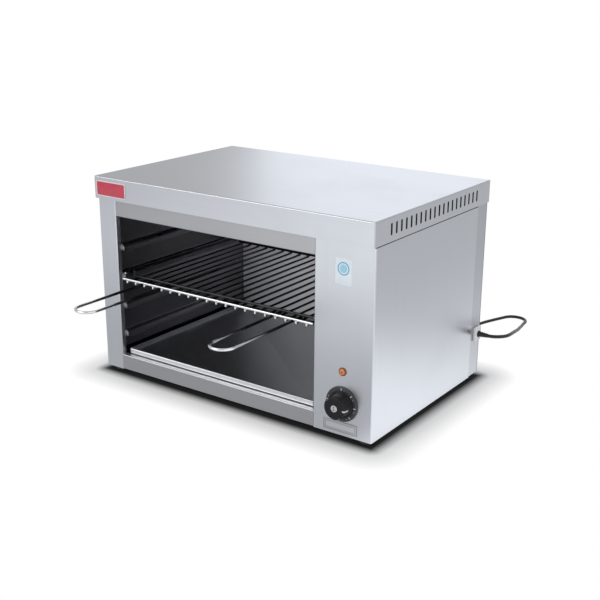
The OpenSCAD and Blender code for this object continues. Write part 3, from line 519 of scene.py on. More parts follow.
# moulded plastic: fine orange peel, slight tone changes and dust in patches
def castPlastic(name, tone, gloss, coat=0.0, dust=(0.2, 0.2, 0.2), soil=0.12, shine=0.5):
    finish = Finish(name, Coat_Weight=coat, Coat_Roughness=0.2, Specular_IOR_Level=shine)
    peel = finish.noise(900.0)
    patch = finish.noise(60.0, 3.0).between(0.5, 0.85)
    cloud = finish.noise(25.0, 1.0)
    tint = finish.mix(cloud, shade(tone, 0.9), shade(tone, 1.08))
    finish.wear(Base_Color=finish.mix(patch * soil, tint, dust),
                Roughness=gloss + (peel - 0.5) * 0.08 + patch * 0.1)
    finish.bump((peel, 0.00003, 0.5))
    return finish


def softRubber(name, tone, gloss, scale=700.0):
    finish = Finish(name, Specular_IOR_Level=0.45)
    grain = finish.noise(scale, 3.0, 0.6)
    bloom = finish.noise(45.0, 3.0, 0.6).between(0.45, 0.85)
    finish.wear(Base_Color=finish.mix(bloom * 0.3, tone, (0.07, 0.07, 0.072)),
                Roughness=gloss + (grain - 0.5) * 0.1 + bloom * 0.12)
    finish.bump((grain, 0.00005, 0.5))
    return finish


def firedMetal(name, tone, heated, gloss):  # sheath that has been hot: oxide patches, a tint, fine scale
    finish = Finish(name, Metallic=1.0)
    heat = finish.noise(14.0)
    scale = finish.noise(420.0, 4.0, 0.65)
    drawn = finish.noise(1.0, stretch=(18, 700, 700))
    tint = finish.mix(heat.between(0.3, 0.5), tone, shade(tone, 0.8))
    tint = finish.mix(heat.between(0.5, 0.7), tint, heated)
    finish.wear(Base_Color=finish.mix(scale.between(0.5, 0.8) * 0.5, tint, shade(tone, 0.5)),
                Roughness=gloss + (scale - 0.5) * 0.25)
    finish.bump((scale, 0.00006, 0.5), (drawn, 0.00002, 0.5))
    return finish


def fibreMat(name, tone):
    finish = Finish(name, Roughness=0.95)
    fibre = finish.noise(1.0, 4.0, 0.7, (260, 260, 1400))
    tuft = finish.noise(55.0, 3.0)
    finish.wear(Base_Color=finish.mix(fibre, shade(tone, 0.72), shade(tone, 1.1)))
    finish.bump((tuft, 0.0012, 0.6), (fibre, 0.0004, 0.7))
    return finish


def bakedClay(name, tone):
    finish = Finish(name, Specular_IOR_Level=0.5)
    grit = finish.noise(650.0, 4.0, 0.6)
    fog = finish.noise(40.0)
    finish.wear(Base_Color=finish.mix(fog, shade(tone, 0.88), tone),
                Roughness=0.5 + (grit - 0.5) * 0.3)
    finish.bump((grit, 0.00006, 0.6))
    return finish


steelTone = (0.595, 0.605, 0.63)
# the rails' tone is the casing steel darkened as painted shade
shadedRailTone = (0.43, 0.428, 0.436)
finishes = {
    "lid": lidSteel(steelTone),
    "upright": wallSteel(steelTone),
    # rear posts: the casing steel darkened as painted shade
    "strut": sheetSteel("strutSteelShaded", shade(steelTone, 0.86), 0.36, "Z", 0.04, 0.06, 0.6),
    "rail": railSteelPaintedLight(shadedRailTone),
    "plain": sheetSteel("plainSteel", shade(steelTone, 0.95), 0.4, "Z", 0.05, 0.08, 0.8),
    # one chamber steel in three tones: the walls darkened as painted shade, the runners lighter for brighter
    # painted highlights, the back wall far lighter as painted light
    "lining": sheetSteel("liningSteelPaintedShade", (0.18, 0.178, 0.19), 0.19, "Y", 0.02, 0.03, 0.1),
    "runner": sheetSteel("runnerSteelPaintedHighlight", (0.27, 0.27, 0.285), 0.28, "Y", 0.03, 0.04, 0.1),
    "liningBack": sheetSteel("liningBackSteelPaintedLight", (0.82, 0.82, 0.85), 0.5, "X", 0.05, 0.05, 0.3, 0.4),
    "tray": traySteel((0.5, 0.51, 0.53)),
    "strip": sheetSteel("stripSteel", (0.5, 0.48, 0.45), 0.35, "Y", 0.08, 0.1, 0.2),
    "foil": sheetSteel("ratingFoil", (0.5, 0.5, 0.52), 0.38, "X", 0.04, 0.05, 0.1),
    "foilPanel": sheetSteel("ratingPanel", (0.62, 0.62, 0.64), 0.45, "X", 0.04, 0.05, 0.1),
    # rack and handles: bright chrome in front, painted shade behind
    "rack": rodsWithPaintedShade("rackChrome", (0.8, 0.8, 0.8), 0.12, -186, -172),
    "handles": rodsWithPaintedShade("handleChrome", (0.8, 0.8, 0.8), 0.1, -318, -255),
    "screw": rodChrome("screwZinc", (0.66, 0.66, 0.63), 0.28),
    "pin": rodChrome("pinNickel", (0.74, 0.72, 0.66), 0.16),
    "brass": rodChrome("brassFitting", (0.62, 0.46, 0.2), 0.3, (0.3, 0.22, 0.1)),
    "copper": rodChrome("sensorCopper", (0.62, 0.34, 0.22), 0.3, (0.25, 0.14, 0.1)),
    "cap": rodChrome("capSilver", (0.62, 0.62, 0.63), 0.3),
    "element": firedMetal("elementSheath", (0.16, 0.145, 0.135), (0.24, 0.19, 0.16), 0.42),
    "wool": fibreMat("mineralWool", (0.72, 0.66, 0.5)),
    "clay": bakedClay("ceramicWhite", (0.78, 0.75, 0.68)),
    "knob": castPlastic("knobBlack", (0.009, 0.008, 0.01), 0.34, 0, (0.06, 0.06, 0.06), 0.05, 0.27),
    "dial": castPlastic("dialBlack", (0.036, 0.035, 0.039), 0.36, 0, (0.12, 0.12, 0.12), 0.07),
    "mark": castPlastic("markWhite", (0.8, 0.81, 0.82), 0.4),
    "figure": castPlastic("figureGrey", (0.42, 0.43, 0.44), 0.45),
    "lens": castPlastic("lampAmber", (0.74, 0.25, 0.06), 0.2, 0.5, (0.9, 0.5, 0.2)),
    "core": castPlastic("lampCore", (0.36, 0.09, 0.02), 0.25, 0.5, (0.6, 0.25, 0.1)),
    "bezel": castPlastic("bezelBrown", (0.22, 0.05, 0.012), 0.3, 0.3, (0.5, 0.2, 0.1)),
    "wire": castPlastic("wireRed", (0.42, 0.04, 0.035), 0.35),
    "white": castPlastic("glandWhite", (0.9, 0.9, 0.92), 0.4, 0, (0.7, 0.7, 0.68), 0.06),
    "cord": softRubber("cordRubber", (0.012, 0.012, 0.013), 0.42),
    "foot": softRubber("footRubber", (0.02, 0.02, 0.02), 0.6, 400.0),
    "tie": softRubber("tieBlack", (0.02, 0.02, 0.022), 0.5, 1200.0),
    "enamel": castPlastic("badgeEnamel", (0.56, 0.025, 0.06), 0.25, 0.4, (0.7, 0.2, 0.25), 0.1),
    "rim": castPlastic("badgeRim", (0.75, 0.74, 0.75), 0.3),
    # dark lines on the rating plate: painted edge shade for the outer outline, print for the inner line
    "ink": castPlastic("framePrintAndEdgeShade", (0.1, 0.1, 0.11), 0.5),
    "paper": castPlastic("stickerPaper", (0.82, 0.9, 1.0), 0.35, 0.3, (0.85, 0.9, 1.0)),
    "turquoise": castPlastic("stickerRing", (0.06, 0.36, 0.62), 0.35, 0.3, (0.4, 0.6, 0.65)),
    "skyBlue": castPlastic("stickerCentre", (0.36, 0.68, 0.86), 0.35, 0.3, (0.6, 0.8, 0.85)),
}
print("materials made:", len(finishes))


def dress(piece, finish):
    piece.data.materials.clear()
    piece.data.materials.append(finishes[finish].material)


# a finished piece: its material, its slot (not used), the nodes that it stands for and its body
def fit(piece, finish, slot, *replaced, body="casing"):
    dress(piece, finish)
    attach(piece, body)
    if replaced:
        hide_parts(*replaced)
    return piece


dressed = {  # the nodes that show as they are
    "lid": "lid", "upright": "left_casing right_casing", "rail": "top_rail bottom_rail",
    "strut": "rear_posts",
    "plain": "rear_panel base_plate", "lining": "liner_left liner_right ceiling_reflector tray_ledges",
    "liningBack": "liner_back", "wool": "top_insulation side_insulation", "strip": "element_supports",
    "screw": "foot_screws lid_screws bulb_clips thermostat_screws thermostat_spindle lamp_nut",
    "element": "element_front element_middle element_rear", "brass": "element_fittings earth_stud",
    "clay": "element_terminals thermostat_body lamp_barrel terminal_block", "wire": "wiring",
    "copper": "sensor_bulb capillary", "white": "gland_nut",
}
for finish, names in dressed.items():
    for name in names.split():
        dress(nodes[name], finish)
print("nodes dressed")


cameraSet = {
    "place": (1.0801, -1.5019, 0.7538),
    "azimuth": 35.234, "elevation": 18.209, "roll": 0.311,
    "lens": 61.89, "sensor": 36, "clip": (0.05, 200),
}


def makeCamera():
    camera = bpy.data.cameras.new("camera")
    camera.lens = cameraSet["lens"]
    camera.sensor_width = cameraSet["sensor"]
    camera.clip_start, camera.clip_end = cameraSet["clip"]
    holder = linked("camera", camera)
    turn = (Matrix.Rotation(math.radians(cameraSet["azimuth"]), 4, "Z")
            @ Matrix.Rotation(math.radians(90 - cameraSet["elevation"]), 4, "X")
            @ Matrix.Rotation(math.radians(cameraSet["roll"]), 4, "Z"))
    holder.matrix_world = Matrix.Translation(cameraSet["place"]) @ turn
    bpy.context.scene.camera = holder


makeCamera()
print("camera placed")


cordSet = {
    "diameter": 6.5,
    "route": [
        (323, 179, 90), (326, 179, 90), (332.1, 179.9, 90.2), (339, 182.9, 90.4), (345, 188.1, 90.4),
        (349.1, 194.9, 90), (350.9, 202.7, 89.2), (350.7, 213, 87.9), (348.5, 229, 85.4), (344, 249, 81.3),
        (334.5, 283, 72), (323, 318, 61.5), (310, 354, 50), (296, 390, 38), (282.5, 426, 26),
        (269.5, 462, 15), (263.5, 481, 9.8), (258, 498, 6), (254.5, 512, 4.2), (252.3, 525.7, 3.5),
        (249, 534.6, 3.5), (242.7, 541.7, 3.5), (234.3, 546.1, 3.5), (224.9, 547.1, 3.5),
        (215.7, 544.8, 3.5), (208, 539.3, 3.5), (202.8, 531.4, 3.5), (197.5, 518.5, 3.5),
        (188.5, 496, 3.5), (178.5, 466, 3.5), (171.5, 430, 3.5), (167.8, 390, 3.5), (167, 350, 3.6),
        (167, 310, 4.2), (167, 296, 4.25),
    ],
    "tail": [(114, 247, 10.75), (102, 246, 11.5), (90, 245, 14), (79, 245, 17.5), (68, 245, 18.5),
             (66, 245, 18.5)],
    "coilCentre": (128, 286),
    "outer": 39.25, "inner": 32.75,  # radii of the two columns of turns
    "low": 4.25, "high": 10.75,      # heights of the two layers
    "turns": 3.2556,                 # wound clockwise, starting on the +X side
    "goesIn": (0.72, 0.98), "rises": (1.68, 1.88), "goesOut": (2.5, 2.76),  # in turns
    "steps": 30,                     # points for each turn
}


def gliding(value, start, end):  # 0 before start, 1 after end, with a soft way between
    share = min(1.0, max(0.0, (value - start) / (end - start)))
    return share * share * (3 - 2 * share)


def coilPoints():
    outer, inner, low, high = valuesOf(cordSet, "outer inner low high")
    across, deep = cordSet["coilCentre"]
    count = round(cordSet["turns"] * cordSet["steps"])
    made = []
    for k in range(count + 1):
        turn = k * cordSet["turns"] / count
        inward = gliding(turn, *cordSet["goesIn"]) - gliding(turn, *cordSet["goesOut"])
        radius = outer + (inner - outer) * inward
        height = low + (high - low) * gliding(turn, *cordSet["rises"])
        angle = -2 * math.pi * turn
        made.append((across + radius * math.cos(angle), deep + radius * math.sin(angle), height))
    return made


def flowing(points, step=3.0):  # smooth curve through given points
    points = [Vector(p) for p in points]
    ends = [points[0] * 2 - points[1], *points, points[-1] * 2 - points[-2]]
    made = []
    for a, b, c, d in zip(ends, ends[1:], ends[2:], ends[3:]):
        count = max(1, round((c - b).length / step))
        for k in range(count):
            t = k / count
            made.append(0.5 * (2 * b + (c - a) * t + (2 * a - 5 * b + 4 * c - d) * t * t
                               + (3 * b - a - 3 * c + d) * t ** 3))
    return [*made, points[-1]]


def makeCord():
    line = flowing([*cordSet["route"], *coilPoints(), *cordSet["tail"]])
    cord = tube("powerCordFlex", [line], cordSet["diameter"], 5, easedEnds=False)
    length = sum((b - a).length for a, b in zip(line, line[1:])) * mm
    print("cord length:", round(length, 4))
    fit(cord, "cord", "cord_rubber", "power_cord", "cord_coil", "cord_tail")
    return cord, line[0] * mm, length


cord, cordExit, cordLength = makeCord()

reliefSet = {
    "collar": 6.4, "collarLength": 2.2, "edge": 0.5, "base": 5.25, "tip": 3.75, "tipEdge": (0.35, 0.6),
    "ribs": 4, "ribHeight": 0.55,
    "rib": ((0.08, 0), (0.2, 1), (0.55, 1), (0.68, 0)),  # shares of the pitch, and where the rib stands
}


def alongX(piece, x, middle, way=1):  # a turned piece laid along X, at the height and depth of middle
    return putAt(piece, (x, middle.y, middle.z), (0, 90 * way, 0))


def makeRelief():
    low, high = boxOf("cord_relief")
    collar, start, edge = valuesOf(reliefSet, "collar collarLength edge")
    base, tip, height = valuesOf(reliefSet, "base tip ribHeight")
    rings = [(collar - edge, 0), (collar, edge), (collar, start - edge), (collar - edge, start)]
    length = high.x - low.x
    pitch = (length - start) / (reliefSet["ribs"] + 0.5)
    for k in range(reliefSet["ribs"]):
        for share, proud in reliefSet["rib"]:
            along = start + (k + share) * pitch
            rings.append((base + (tip - base) * along / length + (proud - 0.5) * height, along))
    narrow, short = reliefSet["tipEdge"]
    relief = turned("cordReliefSleeve", [*rings, (tip, length - short), (tip - narrow, length)], 40)
    return fit(alongX(relief, low.x, (low + high) / 2), "cord", "cord_rubber", "cord_relief")


glandSet = {
    "plate": 5, "corner": 3, "edge": 1.1,
    "neck": [(6, 0), (6, 12.2)],
    "seat": [(9.2, 0), (9.2, 0.5), (8.6, 1.0), (7.4, 1.0)], "sunk": 0.4,
}


def makeGland():
    low, high = boxOf("cord_gland")
    middle = (low + high) / 2
    plate = roundedBlock("cordGlandPlate", (high.x - glandSet["plate"], low.y, low.z), high, 0,
                         glandSet["corner"], glandSet["edge"])
    neck = alongX(turned("glandNeck", glandSet["neck"], 32), low.x, middle)
    seat = alongX(turned("glandSeat", glandSet["seat"], 48), high.x - glandSet["sunk"], middle)
    gland = joined("cordGlandPlate", [plate, neck, seat])
    return fit(gland, "white", "gland_white", "cord_gland")


tieSet = {
    "width": 8.4, "thickness": 0.9, "ease": 0.15, "slope": (1.2, 1.8), "radii": (3.2, 3.2, 3.2, 2.4, 2.6),
}


def makeTie():  # pulled round the three strands at the coil's -X side
    across, deep = cordSet["coilCentre"]
    left, right = across - cordSet["outer"], across - cordSet["inner"]
    reach = cordSet["diameter"] / 2 + tieSet["ease"] + tieSet["thickness"] / 2
    bottom, top = cordSet["low"] - reach, cordSet["high"] + reach
    alongTop, downSide = tieSet["slope"]
    corners = [(left - reach, bottom), (right + reach, bottom), (right + reach, top),
               (right - reach + alongTop, top), (left - reach, cordSet["low"] + downSide)]
    path = rounding([(x, 0, z) for x, z in corners], tieSet["radii"], 6, closed=True)
    band = strap("cordTieStrap", path, tieSet["width"], tieSet["thickness"], closed=True)
    return fit(putAt(band, (0, deep, 0)), "tie", "tie_black", "cord_tie")


plugSet = {
    "sleeve": (4.2, 2.3 / 22),  # radius, and how much it grows along its length
    "ribs": 5, "ribStart": 1.5, "ribStep": 4, "ribHeight": 0.5,
    "shoulder": [(6.5, 21.5), (8.6, 22.3), (11.6, 24), (14.6, 26.6), (17.2, 29.4)],
    "grips": 5, "gripStart": 34.4, "gripStep": 2.6, "gripDepth": 0.8,
    "groove": (6, 2.2, 17),  # width, depth and length of the grooves for the side contacts
    "hole": (2.6, 12), "holeOffset": 9.2,  # radius and depth
    "clip": (0.6, 15), "clipSunk": 2.0, "clipSize": (0.3, 2.4),  # ends, and half thickness and width
    "pin": [(2.4, -2), (2.4, 0), (2.2, 0.2), (2.2, 8.6), (2.4, 9), (2.4, 16.8), (2.2, 17.8), (1.6, 18.6),
            (0.7, 19)],
}


def plugRings(radius, length):
    start, widening = plugSet["sleeve"]
    rings = [(start - 0.5, 0), (start, 0.4)]
    for k in range(plugSet["ribs"]):
        along = plugSet["ribStart"] + k * plugSet["ribStep"]
        body = start + widening * along
        proud = body + plugSet["ribHeight"]
        rings += [(body, along), (proud, along + 0.6), (proud, along + 2.2), (body, along + 2.8)]
    rings += [*plugSet["shoulder"], (radius - 0.4, 31.2), (radius, 32.6)]
    for k in range(plugSet["grips"]):
        along = plugSet["gripStart"] + k * plugSet["gripStep"]
        sunk = radius - plugSet["gripDepth"]
        rings += [(radius, along), (sunk, along + 0.5), (sunk, along + 1.1), (radius, along + 1.6)]
    return [*rings, (radius, length - 1.4), (radius - 0.4, length - 0.4), (radius - 1.4, length)]


def makePlug():
    low, high = boxOf("plug_body")
    middle = (low + high) / 2
    length, radius = high.x - low.x, (high.y - low.y) / 2
    shell = turned("plugShell", plugRings(radius, length), 72)
    width, depth, reach = plugSet["groove"]
    for side in (-1, 1):
        cut(shell, block("groove", (-width / 2, side * radius - depth, length - reach),
                         (width / 2, side * radius + depth, length + 1)))
    hole, reach = plugSet["hole"]
    cut(shell, putAt(turned("earthHole", [(hole, length - reach), (hole, length + 1)], 24),
                     (plugSet["holeOffset"], 0, 0)))
    fit(alongX(smooth(shell, 30), high.x, middle, -1), "cord", "cord_rubber", "plug_body")

    start, end = plugSet["clip"]
    thick, wide = plugSet["clipSize"]
    clips = []
    for side in (-1, 1):
        edge = middle.y + side * (radius - plugSet["clipSunk"])
        clip = block("clip", (low.x + start, edge - thick, middle.z - wide),
                     (low.x + end, edge + thick, middle.z + wide))
        clips.append(eased(clip, 0.2, 2))
    contacts = fit(joined("plugContacts", clips), "pin", "pin_nickel")

    pinLow, pinHigh = boxOf("plug_pins")
    reach = (pinHigh.y - pinLow.y) / 2 - plugSet["pin"][0][0]
    pins = [alongX(turned("pin", plugSet["pin"], 32), pinHigh.x, middle + Vector((0, side * reach, 0)), -1)
            for side in (-1, 1)]
    pinPair = fit(joined("plugPinPair", pins), "pin", "pin_nickel", "plug_pins")
    return shell, contacts, pinPair


relief = makeRelief()
gland = makeGland()
tie = makeTie()
plug = makePlug()
print("cord, tie and plug made")


knobSet = {
    "base": 23.5, "front": 20.5, "seat": 20.0,  # radii at the panel and in front, height of the cap's seat
    "hollow": 20, "hollowDepth": 3.4, "hollowAngle": 47, "edge": 0.55,
    "pointer": 93, "pointerWidth": 2.2, "pointerThickness": 0.5, "pointerReach": 4.2, "pointerBend": 3.1,
    "cap": 6, "capHole": 1.25, "capHoleOffset": (0.3, 2.3),
}
dialSet = {
    "outer": 30.5, "inner": 8, "thickness": 3.6, "groove": (23.2, 24.0, 0.25),  # radii and depth
    "step": 46.5, "mark": (1.2, 4.5), "markMiddle": 26.4, "markSunk": 0.2, "markProud": 0.12,
    "figures": ("0", "50", "100", "150", "200", "250", "300"), "figureSize": 2.9, "figureTurn": 13,
    "figureProud": 0.05,
}
lampSet = {
    "bezel": [(5.3, 0), (7.2, 0), (7.3, 0.2), (7.3, 0.7), (7.1, 1.3), (6.7, 1.75), (6.2, 2), (5.8, 2),
              (5.5, 1.8), (5.3, 1.4), (5.3, 0)],
    "lens": [(5.3, 0.2), (5.3, 1.9), (5.1, 2.3), (4.8, 2.5), (4.4, 2.55), (4.15, 2.35), (3.9, 2.3),
             (3.6, 2.5), (3.2, 2.8), (2.5, 3.05), (1.7, 3.18), (0.01, 3.2)],
    "core": [(1.9, 3.0), (1.85, 3.22), (1.5, 3.34), (0.8, 3.28), (0.01, 3.24)],
}


def onPanel(piece, place, turn=0):  # a turned piece set on the front, its top forward, then turned clockwise
    return putAt(piece, place, (90, turn, 0))


def backOf(node):  # middle of a round node's rear face in mm
    low, high = boxOf(node)
    return (low.x + high.x) / 2, high.y, (low.z + high.z) / 2


def capHoles(wider, bottom, top):  # the two holes in the knob's cap, as plugs
    radius, (across, up) = knobSet["capHole"] + wider, knobSet["capHoleOffset"]
    rings = [(radius, knobSet["seat"] + bottom), (radius, knobSet["seat"] + top)]
    return [putAt(turned("hole", rings, 24), (side * across, side * up, 0)) for side in (-1, 1)]


def makeKnob():
    base, front, seat, hollow = valuesOf(knobSet, "base front seat hollow")
    place = backOf("knob")
    body = turned("knobBody", [
        (base - 1, 0), (base - 0.3, 0.3), (base, 1), (base, 2.2), (base - 0.3, 2.8), (base - 0.9, 3.2),
        (base - 1.1, 4.2), (front + 1, 10), (front + 0.5, 15), (front + 0.1, 17.6), (front - 0.4, 19),
        (front - 1.2, 20.1), (front - 2.4, 20.8), (front - 3.8, 21), (front - 8, 20.75), (8.2, 20.6),
        (7.7, 20.7), (7.2, 20.95), (6.7, 20.95), (6.3, 20.6), (6.15, seat), (0.01, seat)], 96)
    away = front + hollow - knobSet["hollowDepth"]
    for side in (0, 180):  # hollows for the finger and thumb
        angle = math.radians(knobSet["pointer"] + knobSet["hollowAngle"] + side)
        tool = turned("hollow", [(hollow - 1.5, 3.9), (hollow, 5.4), (hollow, 24)], 160)
        cut(body, putAt(tool, (away * math.sin(angle), away * math.cos(angle), 0)))
    smooth(eased(body, knobSet["edge"], 3, 28), 30)
    fit(onPanel(body, place), "knob", "knob_black", "knob", body="knob")

    path = rounding([(front - 6.5, 0, 20.98), (front - 0.1, 0, 21.15), (front + 1.0, 0, 11.5)],
                    [knobSet["pointerBend"]] * 3, 8)
    path[0].x = front - knobSet["pointerReach"]
    pointer = strap("knobPointerStripe", path, knobSet["pointerWidth"], knobSet["pointerThickness"])
    onPanel(pointer, place, knobSet["pointer"] - 90)
    fit(pointer, "mark", "mark_white", "knob_pointer", body="knob")

    edge = knobSet["cap"]
    cap = turned("knobCapDisc", [(edge, seat), (edge, seat + 0.9), (edge - 0.25, seat + 1.25),
                                 (edge - 0.8, seat + 1.45), (0.01, seat + 1.5)], 48)
    for hole in capHoles(0, 0.2, 2):
        cut(cap, hole)
    smooth(eased(cap, 0.12, 2, 60), 30)
    fit(onPanel(cap, place), "cap", "cap_silver", "knob_cap", body="knob")
    holes = onPanel(joined("knobCapHoles", capHoles(0.05, 0.15, 0.3)), place)
    fit(holes, "knob", "knob_black", body="knob")


def makeFigure(words):
    clearSelection()
    bpy.ops.object.text_add()
    text = bpy.context.object
    text.data.body = words
    text.data.size = dialSet["figureSize"] * mm
    text.data.align_x = text.data.align_y = "CENTER"
    text.data.extrude = dialSet["figureProud"] * mm
    asMesh(text)
    return faceOut(named("figure"))


def makeDial():
    outer, inner, top, step = valuesOf(dialSet, "outer inner thickness step")
    grooveIn, grooveOut, depth = dialSet["groove"]
    place = backOf("dial_ring")
    ring = turned("dialPlate", [
        (inner, 0), (outer - 0.3, 0), (outer, 0.3), (outer, 2.2), (outer - 0.25, 2.6), (outer - 1.2, 3.45),
        (outer - 1.6, top), (grooveOut, top), (grooveOut - 0.2, top - depth), (grooveIn + 0.2, top - depth),
        (grooveIn, top), (inner, top), (inner, 0)], 96, loop=True)
    fit(onPanel(ring, place), "dial", "dial_black", "dial_ring")

    marks, figures = [], []
    wide, long = (size / 2 for size in dialSet["mark"])
    middle = dialSet["markMiddle"]
    for k, words in enumerate(dialSet["figures"]):
        mark = roundedBlock("mark", (-wide, middle - long, top - dialSet["markSunk"]),
                            (wide, middle + long, top + dialSet["markProud"]), 2, 0.35, 0, 2)
        marks.append(onPanel(mark, place, k * step))
        figure = putAt(makeFigure(words), (0, middle, top + dialSet["figureProud"]))
        figures.append(onPanel(figure, place, k * step + dialSet["figureTurn"]))
    fit(joined("dialMarkStrokes", marks), "mark", "mark_white", "dial_marks")
    fit(joined("dialFigures", figures), "figure", "mark_white")


def makeLampLens():
    place = backOf("lamp_bezel")
    bezel = onPanel(turned("lampBezelRing", lampSet["bezel"], 64, loop=True), place)
    fit(bezel, "bezel", "bezel_brown", "lamp_bezel")
    lens = onPanel(turned("lampLensDome", lampSet["lens"], 64), place)
    fit(lens, "lens", "lamp_amber", "lamp_lens")
    core = onPanel(turned("lampLensCore", lampSet["core"], 40), place)
    fit(core, "core", "lamp_amber")


makeKnob()
makeDial()
makeLampLens()
print("controls made")


plateSet = {
    "badgeRim": 2.0, "badgeCorner": 1.4, "fieldCorner": 0.8, "fieldProud": 0.25,
    "ratingCorner": 0.8, "edge": 0.3, "line": 0.55, "thinLine": 0.385, "proud": 0.05, "sunk": 0.1,
    "insetSide": 4.5, "insetBottom": 4, "insetTop": 4.5,
    "sticker": ((224.5, 268), (255.5, 312)), "stickerCorner": 1.5, "stickerThickness": 0.12,
    "stamp": (239.7, 294.8), "stampRing": (11, 9.2), "stampDisc": 7.2, "print": 0.05,
}


def frameAround(name, low, high, line, corner):  # thin frame between two corners of a front face
    inner = roundedBlock("inner", (low[0] + line, low[1] - 1, low[2] + line),
                         (high[0] - line, high[1] + 1, high[2] - line), 1, max(0.1, corner - line), 0, 2)
    return smooth(cut(roundedBlock(name, low, high, 1, corner, 0, 2), inner))


def makeBadge():
    low, high = boxOf("badge_plate")
    rim = plateSet["badgeRim"]
    back = roundedBlock("badgeBack", (low.x, low.y + plateSet["fieldProud"], low.z), high, 1,
                        plateSet["badgeCorner"], 0.3)
    fit(back, "rim", "badge_red", "badge_plate")
    field = roundedBlock("badgeField", (low.x + rim, low.y, low.z + rim),
                         (high.x - rim, high.y - 0.3, high.z - rim), 1, plateSet["fieldCorner"], 0.2)
    fit(field, "enamel", "badge_red")


def makeRatingPlate():
    low, high = boxOf("rating_plate")
    sheet = roundedBlock("ratingSheet", low, high, 1, plateSet["ratingCorner"], 0.12)
    fit(sheet, "foil", "rating_foil", "rating_plate")
    edge, proud, sunk = plateSet["edge"], low.y - plateSet["proud"], low.y + plateSet["sunk"]
    # the outer outline is painted edge shade round the plate; the inner line is print
    outline = frameAround("ratingOutline", (low.x + edge, proud, low.z + edge),
                          (high.x - edge, sunk, high.z - edge), plateSet["line"], 0.8)
    inLow = (low.x + plateSet["insetSide"], proud, low.z + plateSet["insetBottom"])
    inHigh = (high.x - plateSet["insetSide"], sunk, high.z - plateSet["insetTop"])
    line = plateSet["thinLine"]
    inline = frameAround("ratingInline", inLow, inHigh, line, 0.5)
    fit(joined("ratingLines", [outline, inline]), "ink", "rating_foil")
    panel = block("ratingPanel", (inLow[0] + line, proud + 0.02, inLow[2] + line),
                  (inHigh[0] - line, sunk, inHigh[2] - line))
    fit(panel, "foilPanel", "rating_foil")


def makeSticker():
    front = boxOf("right_casing")[0].y
    (left, bottom), (right, top) = plateSet["sticker"]
    sheetFront = front - plateSet["stickerThickness"]
    label = roundedBlock("stickerSheet", (left, sheetFront, bottom), (right, front + 0.3, top), 1,
                         plateSet["stickerCorner"], 0.04, 2)
    fit(label, "paper", "rating_foil")
    across, height = plateSet["stamp"]
    place = (across, sheetFront, height)
    (outer, inner), disc, thick = valuesOf(plateSet, "stampRing stampDisc print")
    outline = [(inner, 0), (outer, 0), (outer, thick), (inner, thick), (inner, 0)]
    ring = onPanel(turned("stickerRingPrint", outline, 64, loop=True), place)
    fit(ring, "turquoise", "rating_foil")
    disc = onPanel(turned("stickerDiscPrint", [(disc, 0), (disc, thick)], 64), place)
    fit(disc, "skyBlue", "rating_foil")


makeBadge()
makeRatingPlate()
makeSticker()
print("plates made")


runnerSet = {
    "levels": (245.6, 189.3, 133.0, 76.7),
    "radius": 7.3, "sheet": 7.25, "front": -176.25, "rearGap": 16,
    "nose": 1.02,  # how much longer the front end is than a half ball
    "fillet": [(10, 0), (9.2, 0.12), (8.4, 0.5), (7.7, 1.15), (7.1, 2.1), (6.6, 3.15)],
    "ballAngles": range(34, 83, 8),  # degrees up from the wall, above the fillet
    "full": [(10, 0), (9.2, 0.12), (8.5, 0.5), (8.0, 1.15), (7.75, 2.1), (7.6, 3.3), (7.5, 4.6),
             (7.35, 5.5), (7.05, 6.2), (6.6, 6.75), (6.0, 7.1), (5.2, 7.27), (2.6, 7.34), (0.01, 7.36)],
    "flank": (-75, -5),  # degrees between which the round outline passes into the full one
}


def roundRings():
    radius = runnerSet["radius"]
    angles = [math.radians(angle) for angle in runnerSet["ballAngles"]]
    ball = [(round(radius * math.cos(a), 2), round(radius * math.sin(a), 2)) for a in angles]
    return [*runnerSet["fillet"], *ball, (0.01, radius)]


def fillOut(piece, side, stretch):  # the seat on top stays round, the end and lower flank are pressed fuller
    outlines = list(zip(roundRings(), runnerSet["full"]))
    for vert in piece.data.vertices:
        nearest = min(outlines, key=lambda pair: abs(pair[0][1] * mm - vert.co.z))
        (radius, height), (fullRadius, fullHeight) = nearest
        down, ahead = -side * vert.co.x, abs(vert.co.y) / stretch
        share = gliding(math.degrees(math.atan2(down, ahead)), *runnerSet["flank"])
        wider = 1 + (fullRadius / radius - 1) * share
        vert.co = (vert.co.x * wider, vert.co.y * wider, (height + (fullHeight - height) * share) * mm)


def halfDome(side, front):  # one end of a bead, open underneath
    dome = turned("runner", roundRings(), 48)
    stretch = runnerSet["nose"] if front else 1
    edit(dome)
    pickFaces(dome, lambda middle, normal: middle.z < 1e-7 and normal.z < -0.9)
    bpy.ops.mesh.delete(type="FACE")
    selectAll()
    bpy.ops.mesh.bisect(plane_co=(0, 0, 0), plane_no=(0, 1, 0), clear_outer=front, clear_inner=not front,
                        threshold=1e-6)
    selectAll()
    bpy.ops.transform.resize(value=(1, stretch, 1), center_override=(0, 0, 0))
    leaveEdit()
    fillOut(dome, side, stretch)
    return dome


def makeRunner(side, height):  # two ends and a straight stretch between
    front, sheet = runnerSet["front"], runnerSet["sheet"]
    wallLow, wallHigh = boxOf("liner_left" if side < 0 else "liner_right")
    face = wallHigh.x - sheet if side < 0 else wallLow.x + sheet
    length = boxOf("liner_back")[0].y - runnerSet["rearGap"] - runnerSet["radius"] - front
    dome = halfDome(side, True)
    edit(dome)
    pickEdges(dome, lambda p, q: abs(p.y) < 1e-6 and abs(q.y) < 1e-6)
    extrude(0, length, 0)
    leaveEdit()
    rearDome = putAt(halfDome(side, False), (0, length, 0))
    bead = smooth(faceOut(joined("runner", [dome, rearDome])), 60)
    return putAt(bead, (face, front, height), (0, -90 * side, 0))


